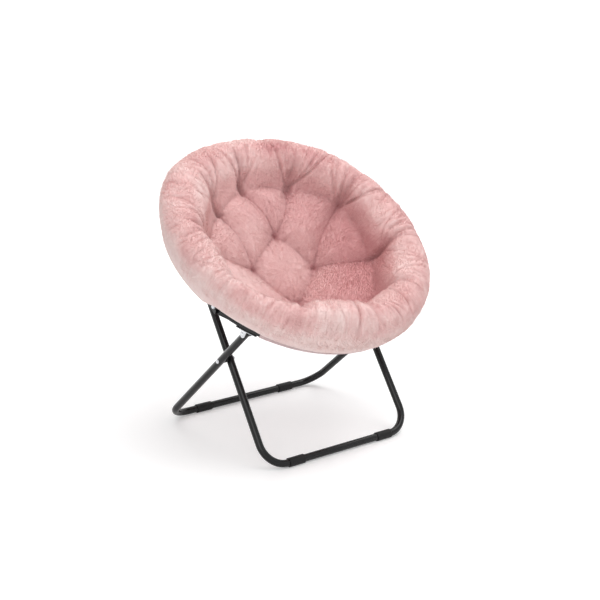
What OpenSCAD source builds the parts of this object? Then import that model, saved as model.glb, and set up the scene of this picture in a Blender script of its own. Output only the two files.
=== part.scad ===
// Folding saucer chair: two crossing U-shaped tube legs, a round hoop made of two
// half-hoops that hinge at the sides, a cloth sling and a tufted round cushion.
// Millimetres, +Z up, the chair faces -Y, and the floor is at z = 0.

/* [Seat ring] */
// Height of the centre of the cushion ring above the floor
ring_height = 590.7; // [560:0.1:620]
// Distance of that centre ahead of the origin, which lies under the middle of the chair
ring_ahead = 2.01; // [0:0.01:6]
// Lean of the ring, back edge high, in degrees
ring_tilt = 31.3; // [29:0.1:34]
// How far inside the hoop's centreline the middle of the cushion roll runs
roll_inset = 27; // [20:0.5:32]
// Thickness of the cushion roll
roll_d = 116; // [100:1:120]
// Depth of the seat below the ring plane, at its middle
bowl_depth = 135; // [110:1:140]
// Steps round the cushion
cushion_steps = 60; // [40:10:60]
// Depth of a sewn tuft
tuft_depth = 20; // [8:1:22]
// Reach of the dent that a tuft pulls in
tuft_reach = 24; // [16:1:34]
// Number of tufts in the outer circle
outer_tufts = 10; // [8:1:12]
// Number of tufts in the inner circle
inner_tufts = 4; // [3:1:5]
// How far the pleats at the tufts draw in the roll
pleat_depth = 5; // [0:0.5:8]
// How much thicker the roll is on the two flanks of the back
flank_swell = 8; // [0:1:12]
// How far the roll stands out further on those flanks
flank_reach = 6; // [0:1:10]
// Clearance between soft pieces and what they lie on
soft_gap = 0.4; // [0.3:0.1:1]

/* [Hoop] */
// Centreline diameter of the hoop
hoop_d = 768; // [760:1:776]
// Outer diameter of the hoop tube
hoop_tube_d = 20; // [18:0.5:21]
// Wall of the hoop tube
hoop_wall = 1.2; // [1:0.1:2]
// How far the hoop lies below the ring plane
hoop_drop = 53; // [51:0.5:56]

/* [Legs] */
// Outer diameter of the leg tube
leg_tube_d = 22; // [20:0.5:22]
// Wall of the leg tube
leg_wall = 1.2; // [1:0.1:2]
// Where the back pivots lie behind the ring centre, as a share of the hoop's radius
back_pivot_share = 0.602; // [0.59:0.001:0.615]
// Where the front pivots lie ahead of the ring centre, as a share of the hoop's radius
front_pivot_share = 0.6043; // [0.595:0.0001:0.612]
// How far the front pivots lie in from the hoop's centreline
front_pivot_inset = 9.5; // [8:0.1:11]
// Rise of the front leg's arms, in degrees
front_leg_angle = 53.41; // [52.5:0.01:54.5]
// Outward lean of the front leg's arms, negative where they draw in, in degrees
front_leg_splay = -0.85; // [-1:0.05:-0.6]
// Bend radius of the front leg's corners
front_bend_r = 71; // [50:1:90]
// Rise of the rear leg's arms, in degrees
rear_leg_angle = 43.35; // [42.5:0.01:44.5]
// Outward lean of the rear leg's arms, in degrees
rear_leg_splay = 1.1; // [0.9:0.05:1.3]
// Bend radius of the rear leg's corners
rear_bend_r = 67; // [50:1:90]
// Length of tube above the rivet at the top of an arm
arm_overhang = 9; // [8:0.5:10]

/* [Feet and plugs] */
// Length of a foot sleeve
sleeve_l = 55; // [40:1:70]
// Wall of a foot sleeve
sleeve_wall = 2.6; // [2.4:0.1:3.5]
// Thickness of a foot sleeve under the bar, at its flat sole
sole_t = 2; // [1.5:0.1:2.3]
// Chamfer at the ends of a foot sleeve
sleeve_chamfer = 0.8; // [0.3:0.1:1.2]
// Distance from a front foot sleeve to the bend beside it
front_foot_inset = 1.5; // [1:0.5:20]
// Distance from a rear foot sleeve to the bend beside it
rear_foot_inset = 33.5; // [1:0.5:50]
// Thickness of the head of an end plug
plug_head_t = 2.5; // [1.5:0.1:3]
// Depth of an end plug in its tube
plug_spigot_l = 5; // [3:0.5:5]
// Clearance between pressed-on pieces
press_gap = 0.1; // [0.05:0.01:0.2]

/* [Rivets] */
// Diameter of the pivot rivets
rivet_d = 6.3; // [5:0.1:7]
// Diameter of a pivot rivet's head
rivet_head_d = 13; // [10:0.5:14]
// Height of a pivot rivet's head
rivet_head_t = 2.2; // [1.5:0.1:3]
// Radial clearance of a pin in its bore
pin_gap = 0.05; // [0.02:0.01:0.1]
// Diameter of the spacer between the crossing tubes
spacer_d = 16; // [13:0.5:18]
// Length of that spacer
spacer_l = 9.6; // [8:0.1:12]
// Diameter of the small rivets that hold brackets to the hoop
small_rivet_d = 5; // [4:0.1:5.5]
// Diameter of a small rivet's head
small_head_d = 8; // [7:0.5:9]
// Height of a small rivet's head
small_head_t = 1.4; // [1:0.1:1.6]

/* [Brackets] */
// Thickness of the bracket sheet
sheet_t = 2; // [1.5:0.1:2.2]
// How far the front pivots lie below the hoop plane
front_pivot_drop = 30; // [29.5:0.1:31]
// How far the back pivots lie below the hoop plane
back_pivot_drop = 27; // [26:0.1:29]
// Radius of the front bracket's ears
front_ear_r = 10; // [8:0.5:10.5]
// Radius of the back bracket's ears
back_ear_r = 9; // [8:0.5:10]
// Side clearance of the arm in the front bracket
front_side_gap = 0.6; // [0.4:0.1:0.9]
// Side clearance of the arm in the back bracket
back_side_gap = 1.2; // [1:0.1:1.5]
// Width of the bracket strip that lies under the hoop
strip_w = 18; // [14:0.5:20]
// Length of that strip ahead of the front pivot
strip_front_l = 27; // [25:0.5:30]
// Length of that strip behind the front pivot
strip_rear_l = 22; // [20:0.5:24]
// Distance of the bracket rivets in from the end of the strip
strip_rivet_inset = 6.5; // [5.5:0.5:7.5]

/* [Hoop hinge] */
// Diameter of the hinge pins
hinge_pin_d = 8; // [6:0.1:9]
// Diameter of a hinge pin's head
hinge_head_d = 14; // [12:0.5:15]
// Height of a hinge pin's head
hinge_head_t = 2; // [1.5:0.1:2.5]
// Thickness of the flattened tube ends
plate_t = 5; // [4:0.1:5.4]
// Height of the flattened tube ends
plate_h = 22; // [20:0.5:22]
// Gap between the two flattened ends, and beside them
plate_gap = 0.4; // [0.3:0.1:0.6]
// Length of the flattened end of the front half-hoop ahead of the pin
front_plate_l = 24; // [23:0.5:27]
// Length of the flattened end of the back half-hoop behind the pin
back_plate_l = 28; // [27:0.5:31]
// Length over which a tube end runs from round to flat
flatten_l = 22; // [18:0.5:26]
// Length of the stop channel ahead of the pin
channel_front_l = 16; // [13:0.5:18]
// Length of the stop channel behind the pin
channel_rear_l = 26; // [24:0.5:26.5]
// Height of the channel walls above the pin, behind the pin
channel_wall_h = 9; // [6:0.5:10]
// Distance of the channel rivet behind the pin
channel_rivet_l = 20; // [19:0.5:21]

/* [Sling] */
// Thickness of the sling cloth
cloth_t = 2; // [1:0.1:2.2]
// Depth of the sling below the hoop plane
sling_depth = 158; // [154:1:160]
// Gap between the two halves of the soft pieces at the hinge line
seam_gap = 0.6; // [0.4:0.1:2]

/* [Hidden] */
$fn = 48;

// Overrun of every cut past the face it opens
over = 1;
// Thickness of the slices that a flattened tube end is lofted between
slice = 0.8;
// How much the tube draws in at a bend, and how far the straights reach into it
bend_thin = 0.05;
bend_lap = 0.5;
// Colours
frame_black = "#1b1a1c";
plastic_black = "#262527";
zinc = "#b9bcc0";
cloth_grey = "#5b5157";
plush_pink = "#e2a9ab";

// Tubes
leg_r = leg_tube_d / 2;
tube_r = hoop_tube_d / 2;
hoop_r = hoop_d / 2;
bar_z = leg_r + sole_t;

// A place (u, n) in the hoop plane, seen from the side as (y from the ring centre, z)
function from_side(p) = [
    p[0] * cos(ring_tilt) - (p[1] - hoop_drop) * sin(ring_tilt),
    p[0] * sin(ring_tilt) + (p[1] - hoop_drop) * cos(ring_tilt) + ring_height];

// Pivots of the hoop on the arms, in the hoop plane and up each arm from its foot bar
back_pivot = [back_pivot_share * hoop_r, -back_pivot_drop];
front_pivot = [-front_pivot_share * hoop_r, -front_pivot_drop];
back_pivot_l = (from_side(back_pivot)[1] - bar_z) / sin(front_leg_angle);
front_pivot_l = (from_side(front_pivot)[1] - bar_z) / sin(rear_leg_angle);

// Distance of each foot bar from the ring centre
front_foot_reach = back_pivot_l * cos(front_leg_angle) - from_side(back_pivot)[0];
rear_foot_reach = front_pivot_l * cos(rear_leg_angle) + from_side(front_pivot)[0];

// Where the arms of the two legs cross, measured up each arm from its foot bar
foot_span = front_foot_reach + rear_foot_reach;
cross_angle = front_leg_angle + rear_leg_angle;
front_cross_l = foot_span * sin(rear_leg_angle) / sin(cross_angle);
rear_cross_l = foot_span * sin(front_leg_angle) / sin(cross_angle);
cross_y = front_cross_l * cos(front_leg_angle) - front_foot_reach;
cross_z = front_cross_l * sin(front_leg_angle) + bar_z;

// Distances of the arms from the middle of the chair: the rear leg's arms follow the
// hoop, and the front leg's arms lie a spacer's length inside them where they cross
front_pivot_x = sqrt(pow(hoop_r, 2) - pow(front_pivot[0], 2)) - front_pivot_inset;
rear_cross_x = front_pivot_x - (front_pivot_l - rear_cross_l) * tan(rear_leg_splay);
front_cross_x = rear_cross_x - leg_tube_d - spacer_l - 4 * press_gap;
back_pivot_x = front_cross_x + (back_pivot_l - front_cross_l) * tan(front_leg_splay);
front_leg_w = 2 * (front_cross_x - front_cross_l * tan(front_leg_splay));
rear_leg_w = 2 * (rear_cross_x - rear_cross_l * tan(rear_leg_splay));
front_foot_x = front_leg_w / 2 - front_bend_r * tan(45 - front_leg_splay / 2)
    - front_foot_inset - sleeve_l / 2;
rear_foot_x = rear_leg_w / 2 - rear_bend_r * tan(45 - rear_leg_splay / 2)
    - rear_foot_inset - sleeve_l / 2;

// Hinge line across the hoop: the place at which the frame folds flat, where the
// back half is longer than the front half by as much as the upper arms differ
arm_diff = (back_pivot_l - front_cross_l) - (front_pivot_l - rear_cross_l);
pivot_span = back_pivot[0] - front_pivot[0];
hinge_m = pow(pivot_span, 2) + pow(back_pivot_drop, 2) - pow(front_pivot_drop, 2)
    - pow(arm_diff, 2);
hinge_k = pow(pivot_span, 2) - pow(arm_diff, 2);
hinge_w = (pivot_span * hinge_m - sqrt(pow(pivot_span * hinge_m, 2)
    - hinge_k * (pow(hinge_m, 2) - 4 * pow(arm_diff * front_pivot_drop, 2)))) / (2 * hinge_k);
hinge_u = front_pivot[0] + hinge_w;
hinge_x = sqrt(pow(hoop_r, 2) - pow(hinge_u, 2));

// Angles at which the round tube ends, from +X towards the back
front_end_a = asin((hinge_u - front_plate_l - flatten_l) / hoop_r);
back_end_a = asin((hinge_u + back_plate_l + flatten_l) / hoop_r);
channel_half_w = plate_gap / 2 + plate_t + plate_gap;
channel_floor = plate_h / 2 + plate_gap;

// Brackets
strip_top = tube_r + pin_gap;
front_ear_x = leg_r + front_side_gap;
back_ear_x = leg_r + back_side_gap;
front_rivet_u = [front_pivot[0] - strip_front_l + strip_rivet_inset,
    front_pivot[0] + strip_rear_l - strip_rivet_inset];
back_strip_over = sheet_t + strip_w / 2;
back_strip_a = [acos((back_pivot_x + back_ear_x + back_strip_over) / hoop_r),
    acos((back_pivot_x - back_ear_x - back_strip_over) / hoop_r)];
back_rivet_x = [back_pivot_x + back_ear_x / 2, back_pivot_x - back_ear_x / 2];

// Sling: shares of the hoop radius against shares of the sling depth
sling_shares = [[0, 1], [0.12, 0.985], [0.26, 0.924], [0.37, 0.845], [0.47, 0.734],
    [0.55, 0.62], [0.625, 0.494], [0.69, 0.37], [0.755, 0.253], [0.82, 0.138],
    [0.885, 0.051]];
sling_edge_r = hoop_r - tube_r - soft_gap;
sling_edge_n = cloth_t;
sling_under = concat([for (s = sling_shares) [s[0] * hoop_r, -s[1] * sling_depth]],
    [[sling_edge_r, sling_edge_n]]);
hem_in_r = tube_r + soft_gap;
hem_out_r = hem_in_r + cloth_t * 0.85;
hem_inset_a = 1;
front_hem_a = asin((front_pivot[0] - strip_front_l) / hoop_r) - hem_inset_a;
side_hem_a = [back_end_a + hem_inset_a, back_strip_a[0] - hem_inset_a];
back_hem_a = back_strip_a[1] + hem_inset_a;
notch_x = hinge_x - channel_half_w - sheet_t - hinge_head_t;

// Cushion: the upper surface inside the roll, as shares of the inner radius of the
// roll against shares of the bowl depth
roll_ring_r = hoop_r - roll_inset;
roll_r = roll_d / 2;
bowl_r = roll_ring_r - roll_r;
bowl_shares = [[0, 1], [0.34, 0.874], [0.67, 0.65], [0.876, 0.385], [0.957, 0.16], [1, 0]];
top_station_shares = [0.16, 0.34, 0.5, 0.66, 0.78, 0.88, 0.96];
bowl_lean_share = 0.42;
outer_tuft_share = 0.88;
inner_tuft_share = 0.34;
outer_tuft_a = 29;
inner_tuft_a = 90;
roll_angles = [155, 130, 108, 86, 62, 36, 10, -14, -32];
roll_tuck_share = 0.96;
groove_n = channel_floor + cloth_t;
groove_out_r = hoop_r + hem_out_r + soft_gap;
groove_in_r = sqrt(pow(notch_x, 2) + pow(hinge_u + channel_rear_l, 2)) - cloth_t;
under_station_shares = [0.885, 0.82, 0.755, 0.69, 0.625, 0.55, 0.47, 0.37, 0.26, 0.12];

// ---- Frames to draw in

// The hoop plane: X across, Y along the plane from front to back, Z square to it
module in_hoop_plane() {
    translate([0, -ring_ahead, ring_height]) rotate([ring_tilt, 0, 0])
        translate([0, 0, -hoop_drop]) children();
}

// The front leg's plane: X across, Y up its arms, origin at the foot bar
module in_front_leg() {
    translate([0, -ring_ahead - front_foot_reach, bar_z])
        rotate([front_leg_angle, 0, 0]) children();
}

// The rear leg's plane: X across, Y up its arms, origin at the foot bar
module in_rear_leg() {
    translate([0, rear_foot_reach - ring_ahead, bar_z])
        rotate([180 - rear_leg_angle, 0, 0]) children();
}

// The line of crossing pivots
module at_cross() {
    translate([0, cross_y - ring_ahead, cross_z]) children();
}

// A copy of a right-hand piece on the left
module left() {
    mirror([1, 0, 0]) children();
}

// ---- Pieces that repeat

// Solid rod that follows a U: the bar along X, two bends and two arms. The straight
// runs reach a little into the bends, which are drawn thinner by bend_thin.
module u_rod(w, splay, bend_r, arm_l, d, end_over) {
    turn = 90 - splay;
    setback = bend_r * tan(turn / 2);
    bar_half = w / 2 - setback;
    translate([-bar_half - bend_lap, 0, 0]) rotate([0, 90, 0])
        cylinder(h = 2 * (bar_half + bend_lap), d = d);
    for (s = [0, 1]) mirror([s, 0, 0]) translate([bar_half, bend_r, 0]) {
        rotate([0, 0, -90]) rotate_extrude(angle = turn, $fn = 96)
            translate([bend_r, 0]) circle(d = d - 2 * bend_thin, $fn = 48);
        rotate([0, 0, turn - 90]) translate([bend_r, -bend_lap, 0]) rotate([-90, 0, 0])
            cylinder(h = arm_l / cos(splay) - setback + bend_lap + end_over, d = d);
    }
}

// Bent leg tube with open upper ends
module u_tube(w, splay, bend_r, arm_l) {
    difference() {
        u_rod(w, splay, bend_r, arm_l, leg_tube_d, 0);
        u_rod(w, splay, bend_r, arm_l, leg_tube_d - 2 * leg_wall, over);
    }
}

// Bore along X through a right-hand arm and its mirror image
module cross_bores(d) {
    translate([-rear_leg_w, 0, 0]) rotate([0, 90, 0]) cylinder(h = 2 * rear_leg_w, d = d);
}

// Pivot rivet along X from its inner head's seat at x = 0
module rivet(len, d, head_d, head_t) {
    rotate([0, 90, 0]) {
        translate([0, 0, -pin_gap]) cylinder(h = len + 2 * pin_gap, d = d);
        translate([0, 0, -pin_gap - head_t])
            cylinder(h = head_t, d1 = head_d - head_t, d2 = head_d);
        translate([0, 0, len + pin_gap])
            cylinder(h = head_t, d1 = head_d, d2 = head_d - head_t);
    }
}

// Foot sleeve round the bar, cut flat at the floor
module foot_sleeve(x, y) {
    in_r = leg_r + press_gap;
    out_r = leg_r + sleeve_wall;
    difference() {
        translate([x - sleeve_l / 2, y, bar_z]) rotate([0, 90, 0]) rotate_extrude($fn = 64)
            polygon([[in_r, 0], [out_r - sleeve_chamfer, 0], [out_r, sleeve_chamfer],
                [out_r, sleeve_l - sleeve_chamfer], [out_r - sleeve_chamfer, sleeve_l],
                [in_r, sleeve_l]]);
        translate([x - sleeve_l, y - out_r - over, -out_r])
            cube([2 * sleeve_l, 2 * (out_r + over), out_r]);
    }
}

// Plug at the top of a right-hand arm, drawn in its leg's plane
module arm_plug(w, splay, arm_l) {
    spigot_r = leg_r - leg_wall - press_gap;
    translate([w / 2, 0, 0]) rotate([0, 0, -splay]) translate([0, arm_l / cos(splay), 0])
        rotate([-90, 0, 0]) rotate_extrude($fn = 64)
        polygon([[0, -plug_spigot_l], [spigot_r, -plug_spigot_l], [spigot_r, 0],
            [leg_r, 0], [leg_r, plug_head_t * 0.6], [leg_r - plug_head_t * 0.4, plug_head_t],
            [0, plug_head_t]]);
}

// Small rivet up through a bracket strip and the hoop tube above it
module strip_rivet(x, u) {
    z0 = -strip_top - sheet_t;
    translate([x, u, z0]) {
        translate([0, 0, -pin_gap])
            cylinder(h = sheet_t + strip_top + tube_r + 3 * pin_gap, d = small_rivet_d);
        translate([0, 0, -pin_gap - small_head_t])
            cylinder(h = small_head_t, d1 = small_head_d - small_head_t, d2 = small_head_d);
    }
    translate([x, u, tube_r + pin_gap])
        cylinder(h = small_head_t, d1 = small_head_d, d2 = small_head_d - small_head_t);
}

// The hole for such a rivet
module strip_bore(x, u) {
    translate([x, u, -hoop_tube_d]) cylinder(h = 2 * hoop_tube_d, d = small_rivet_d + 2 * pin_gap);
}

// Where the rivets of the right-hand brackets stand
module at_front_strip_rivets() {
    for (u = front_rivet_u) translate([sqrt(pow(hoop_r, 2) - pow(u, 2)), u, 0]) children();
}
module at_back_strip_rivets() {
    for (x = back_rivet_x) translate([x, sqrt(pow(hoop_r, 2) - pow(x, 2)), 0]) children();
}

// Arc of round tube in the hoop plane between two angles from +X
module hoop_arc(a0, a1) {
    rotate([0, 0, a0]) rotate_extrude(angle = a1 - a0, $fn = 180) translate([hoop_r, 0])
        difference() {
            circle(r = tube_r);
            circle(r = tube_r - hoop_wall);
        }
}

// Right-hand tube end that runs from round, at angle a, to a plate from u0 to the pin.
// The plate's inner face lies at x0.
module flat_end(a, x0, u0, dir) {
    hull() {
        rotate([0, 0, a]) translate([hoop_r, 0, 0]) rotate([90 * dir, 0, 0])
            cylinder(h = slice, r = tube_r - hoop_wall / 4, $fn = 32);
        translate([x0, min(u0, u0 + dir * slice), -plate_h / 2]) cube([plate_t, slice, plate_h]);
    }
    translate([x0, min(u0, hinge_u), -plate_h / 2])
        cube([plate_t, abs(hinge_u - u0), plate_h]);
    translate([x0, hinge_u, 0]) rotate([0, 90, 0]) cylinder(h = plate_t, d = plate_h);
}

// Bore along X in the hoop plane
module hinge_bore(u, n, d) {
    translate([-hoop_d, u, n]) rotate([0, 90, 0]) cylinder(h = 2 * hoop_d, d = d);
}

// Curved strip under the right-hand side of the hoop between two angles
module under_strip(a0, a1) {
    translate([0, 0, -strip_top - sheet_t]) rotate([0, 0, a0])
        rotate_extrude(angle = a1 - a0, $fn = 180)
        translate([hoop_r - strip_w / 2, 0]) square([strip_w, sheet_t]);
}

// Half-space of the hoop frame ahead of the hinge line (s = -1) or behind it (s = 1)
module half_of_hoop(s) {
    edge = hinge_u + s * seam_gap / 2;
    translate([-hoop_d, s > 0 ? edge : edge - 2 * hoop_d, -hoop_d])
        cube([2 * hoop_d, 2 * hoop_d, 2 * hoop_d]);
}

// ---- Legs

module front_leg() {
    color(frame_black) difference() {
        in_front_leg() u_tube(front_leg_w, front_leg_splay, front_bend_r,
            back_pivot_l + arm_overhang);
        at_cross() cross_bores(rivet_d + 2 * pin_gap);
        in_hoop_plane() hinge_bore(back_pivot[0], back_pivot[1], rivet_d + 2 * pin_gap);
    }
}

module rear_leg() {
    color(frame_black) difference() {
        in_rear_leg() u_tube(rear_leg_w, rear_leg_splay, rear_bend_r,
            front_pivot_l + arm_overhang);
        at_cross() cross_bores(rivet_d + 2 * pin_gap);
        in_hoop_plane() hinge_bore(front_pivot[0], front_pivot[1], rivet_d + 2 * pin_gap);
    }
}

module front_foot_right() {
    color(plastic_black) foot_sleeve(front_foot_x, -front_foot_reach - ring_ahead);
}
module front_foot_left() {
    left() front_foot_right();
}
module rear_foot_right() {
    color(plastic_black) foot_sleeve(rear_foot_x, rear_foot_reach - ring_ahead);
}
module rear_foot_left() {
    left() rear_foot_right();
}

module front_leg_plug_right() {
    color(plastic_black) in_front_leg()
        arm_plug(front_leg_w, front_leg_splay, back_pivot_l + arm_overhang);
}
module front_leg_plug_left() {
    left() front_leg_plug_right();
}
module rear_leg_plug_right() {
    color(plastic_black) in_rear_leg()
        arm_plug(rear_leg_w, rear_leg_splay, front_pivot_l + arm_overhang);
}
module rear_leg_plug_left() {
    left() rear_leg_plug_right();
}

// Rivet through both arms where the legs cross
module cross_rivet_right() {
    color(zinc) at_cross() translate([front_cross_x - leg_r - press_gap, 0, 0])
        rivet(rear_cross_x - front_cross_x + 2 * (leg_r + press_gap), rivet_d, rivet_head_d,
            rivet_head_t);
}
module cross_rivet_left() {
    left() cross_rivet_right();
}

// Bush that keeps the crossing arms apart
module cross_spacer_right() {
    color(plastic_black) at_cross() translate([front_cross_x + leg_r + 2 * press_gap, 0, 0])
        rotate([0, 90, 0]) difference() {
            cylinder(h = spacer_l, d = spacer_d);
            translate([0, 0, -over])
                cylinder(h = spacer_l + 2 * over, d = rivet_d + 2 * pin_gap);
        }
}
module cross_spacer_left() {
    left() cross_spacer_right();
}

// ---- Hoop

// Short arc round the front, with flattened ends that lie inside the back ones
module front_hoop() {
    color(frame_black) in_hoop_plane() difference() {
        union() {
            hoop_arc(-180 - front_end_a, front_end_a);
            for (s = [0, 1]) mirror([s, 0, 0])
                flat_end(front_end_a, hinge_x - plate_gap / 2 - plate_t,
                    hinge_u - front_plate_l, 1);
        }
        hinge_bore(hinge_u, 0, hinge_pin_d + 2 * pin_gap);
        for (s = [0, 1]) mirror([s, 0, 0]) at_front_strip_rivets() strip_bore(0, 0);
    }
}

// Long arc round the back
module back_hoop() {
    color(frame_black) in_hoop_plane() difference() {
        union() {
            hoop_arc(back_end_a, 180 - back_end_a);
            for (s = [0, 1]) mirror([s, 0, 0])
                flat_end(back_end_a, hinge_x + plate_gap / 2, hinge_u + back_plate_l, -1);
        }
        hinge_bore(hinge_u, 0, hinge_pin_d + 2 * pin_gap);
        hinge_bore(hinge_u + channel_rivet_l, 0, small_rivet_d + 2 * pin_gap);
        for (s = [0, 1]) mirror([s, 0, 0]) at_back_strip_rivets() strip_bore(0, 0);
    }
}

// Channel, open upward, whose floor stops the hoop when it lies straight
module hinge_channel_right() {
    floor_u = channel_front_l + channel_rear_l;
    color(plastic_black) in_hoop_plane() difference() {
        translate([hinge_x, hinge_u, 0]) {
            for (s = [-1, 1])
                translate([s > 0 ? channel_half_w : -channel_half_w - sheet_t, 0, 0])
                rotate([90, 0, 90]) linear_extrude(height = sheet_t) {
                    circle(d = plate_h);
                    translate([-channel_front_l, -channel_floor - sheet_t])
                        square([floor_u, channel_floor + sheet_t]);
                    square([channel_rear_l, channel_wall_h]);
                }
            translate([-channel_half_w - sheet_t / 2, -channel_front_l,
                -channel_floor - sheet_t])
                cube([2 * channel_half_w + sheet_t, floor_u, sheet_t]);
        }
        hinge_bore(hinge_u, 0, hinge_pin_d + 2 * pin_gap);
        translate([hinge_x, hinge_u + channel_rivet_l, 0]) rotate([0, 90, 0])
            cylinder(h = plate_h, d = small_rivet_d + 2 * pin_gap);
    }
}
module hinge_channel_left() {
    left() hinge_channel_right();
}

module hinge_pin_right() {
    color(zinc) in_hoop_plane()
        translate([hinge_x - channel_half_w - sheet_t, hinge_u, 0])
        rivet(2 * (channel_half_w + sheet_t), hinge_pin_d, hinge_head_d, hinge_head_t);
}
module hinge_pin_left() {
    left() hinge_pin_right();
}

// One rivet a side through the channel's outer wall and the back half-hoop's end
module channel_rivets() {
    color(zinc) in_hoop_plane() for (s = [0, 1]) mirror([s, 0, 0])
        translate([hinge_x + plate_gap / 2, hinge_u + channel_rivet_l, 0])
        rivet(plate_t + plate_gap + sheet_t, small_rivet_d, small_head_d, small_head_t);
}

// ---- Brackets

// Two ears round the rear leg's arm, under a strip that lies along the hoop
module front_bracket_right() {
    color(zinc) in_hoop_plane() difference() {
        union() {
            for (s = [-1, 1])
                translate([front_pivot_x + (s > 0 ? front_ear_x : -front_ear_x - sheet_t), 0, 0])
                rotate([90, 0, 90]) linear_extrude(height = sheet_t) {
                    translate(front_pivot) circle(r = front_ear_r);
                    translate([front_pivot[0] - front_ear_r, front_pivot[1]])
                        square([2 * front_ear_r, -front_pivot[1] - strip_top]);
                }
            translate([front_pivot_x - front_ear_x - sheet_t, front_pivot[0] - front_ear_r,
                -strip_top - sheet_t])
                cube([2 * (front_ear_x + sheet_t), 2 * front_ear_r, sheet_t]);
            under_strip(asin((front_pivot[0] - strip_front_l) / hoop_r),
                asin((front_pivot[0] + strip_rear_l) / hoop_r));
        }
        hinge_bore(front_pivot[0], front_pivot[1], rivet_d + 2 * pin_gap);
        at_front_strip_rivets() strip_bore(0, 0);
    }
}
module front_bracket_left() {
    left() front_bracket_right();
}

module front_pivot_rivet_right() {
    color(zinc) in_hoop_plane()
        translate([front_pivot_x - front_ear_x - sheet_t, front_pivot[0], front_pivot[1]])
        rivet(2 * (front_ear_x + sheet_t), rivet_d, rivet_head_d, rivet_head_t);
}
module front_pivot_rivet_left() {
    left() front_pivot_rivet_right();
}

module front_bracket_rivets() {
    color(zinc) in_hoop_plane() for (s = [0, 1]) mirror([s, 0, 0])
        at_front_strip_rivets() strip_rivet(0, 0);
}

// Two long ears that run back from the front leg's arm to a strip under the hoop
module back_bracket_right() {
    color(zinc) in_hoop_plane() difference() {
        union() {
            for (s = [-1, 1]) {
                ear_x = back_pivot_x + s * (back_ear_x + sheet_t / 2);
                ear_u = sqrt(pow(hoop_r, 2) - pow(ear_x, 2));
                translate([ear_x - sheet_t / 2, 0, 0])
                    rotate([90, 0, 90]) linear_extrude(height = sheet_t) {
                        translate(back_pivot) circle(r = back_ear_r);
                        polygon([[back_pivot[0], back_pivot[1] - back_ear_r],
                            [ear_u + back_ear_r, -strip_top - sheet_t],
                            [ear_u + back_ear_r, -strip_top - sheet_t / 2],
                            [ear_u - back_ear_r, -strip_top - sheet_t / 2],
                            [back_pivot[0], back_pivot[1] + back_ear_r]]);
                    }
            }
            under_strip(back_strip_a[0], back_strip_a[1]);
        }
        hinge_bore(back_pivot[0], back_pivot[1], rivet_d + 2 * pin_gap);
        at_back_strip_rivets() strip_bore(0, 0);
    }
}
module back_bracket_left() {
    left() back_bracket_right();
}

// Short studs in the four ears that carry the front leg's arms
module back_pivot_studs() {
    color(zinc) in_hoop_plane() for (s = [0, 1], e = [-1, 1]) mirror([s, 0, 0])
        translate([back_pivot_x + e * back_ear_x, back_pivot[0], back_pivot[1]])
        rotate([0, 90 * e, 0]) {
            cylinder(h = sheet_t + pin_gap, d = rivet_d);
            translate([0, 0, sheet_t + pin_gap])
                cylinder(h = rivet_head_t, d1 = rivet_head_d, d2 = rivet_head_d - rivet_head_t);
        }
}

module back_bracket_rivets() {
    color(zinc) in_hoop_plane() for (s = [0, 1]) mirror([s, 0, 0])
        at_back_strip_rivets() strip_rivet(0, 0);
}

// ---- Sling

// Cloth bowl inside the hoop
module sling_bowl() {
    difference() {
        rotate_extrude($fn = 120) polygon(concat(sling_under,
            [for (i = [len(sling_under) - 1 : -1 : 0]) sling_under[i] + [0, cloth_t]]));
        for (s = [0, 1]) mirror([s, 0, 0])
            translate([notch_x - soft_gap, hinge_u - front_plate_l - flatten_l, -hoop_d])
            cube([hoop_r, front_plate_l + back_plate_l + 2 * flatten_l, 2 * hoop_d]);
    }
}

// Hem of the sling round the hoop tube between two angles
module hem(a0, a1) {
    rotate([0, 0, a0]) rotate_extrude(angle = a1 - a0, $fn = 180) translate([hoop_r, 0])
        difference() {
            circle(r = hem_out_r);
            circle(r = hem_in_r);
        }
}

module sling_front() {
    color(cloth_grey) in_hoop_plane() {
        intersection() {
            sling_bowl();
            half_of_hoop(-1);
        }
        hem(-180 - front_hem_a, front_hem_a);
    }
}

module sling_back() {
    color(cloth_grey) in_hoop_plane() {
        intersection() {
            sling_bowl();
            half_of_hoop(1);
        }
        hem(side_hem_a[0], side_hem_a[1]);
        hem(back_hem_a, 180 - back_hem_a);
        hem(180 - side_hem_a[1], 180 - side_hem_a[0]);
    }
}

// ---- Cushion

// Places of the tufts as [x, u]
tufts = concat(
    [for (i = [0 : outer_tufts - 1]) let (a = outer_tuft_a + i * 360 / outer_tufts)
        outer_tuft_share * bowl_r * [cos(a), sin(a)]],
    [for (i = [0 : inner_tufts - 1]) let (a = inner_tuft_a + i * 360 / inner_tufts)
        inner_tuft_share * bowl_r * [cos(a), sin(a)]]);

// Sum of the dents at a place
function dent(x, u) = -tuft_depth * max([for (t = tufts)
    exp(-(pow(x - t[0], 2) + pow(u - t[1], 2)) / (2 * pow(tuft_reach, 2)))]);

// Height over the hoop plane of the seat's upper surface, inside the roll
function seat_n(s, a) = hoop_drop - bowl_depth * lookup(s, bowl_shares)
    + bowl_lean_share * s * bowl_r * sin(a) * (1 - pow(s, 2))
    + dent(s * bowl_r * cos(a), s * bowl_r * sin(a));

// Share of the flanks' swelling at angle a: the roll is fullest either side of the back
function flank(a) = sin(a) > 0 ? pow(sin(2 * a), 2) : 0;

// Radius of the roll's section, drawn in by the pleats that leave the outer tufts
function roll_here(a) = roll_r + flank_swell * flank(a)
    - pleat_depth * pow(max(0, cos(outer_tufts * (a - outer_tuft_a))), 3);

// Upper surface of the sling, which the cushion lies on
sling_over = [for (p = sling_under) [p[0], p[1] + cloth_t + soft_gap]];

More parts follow.
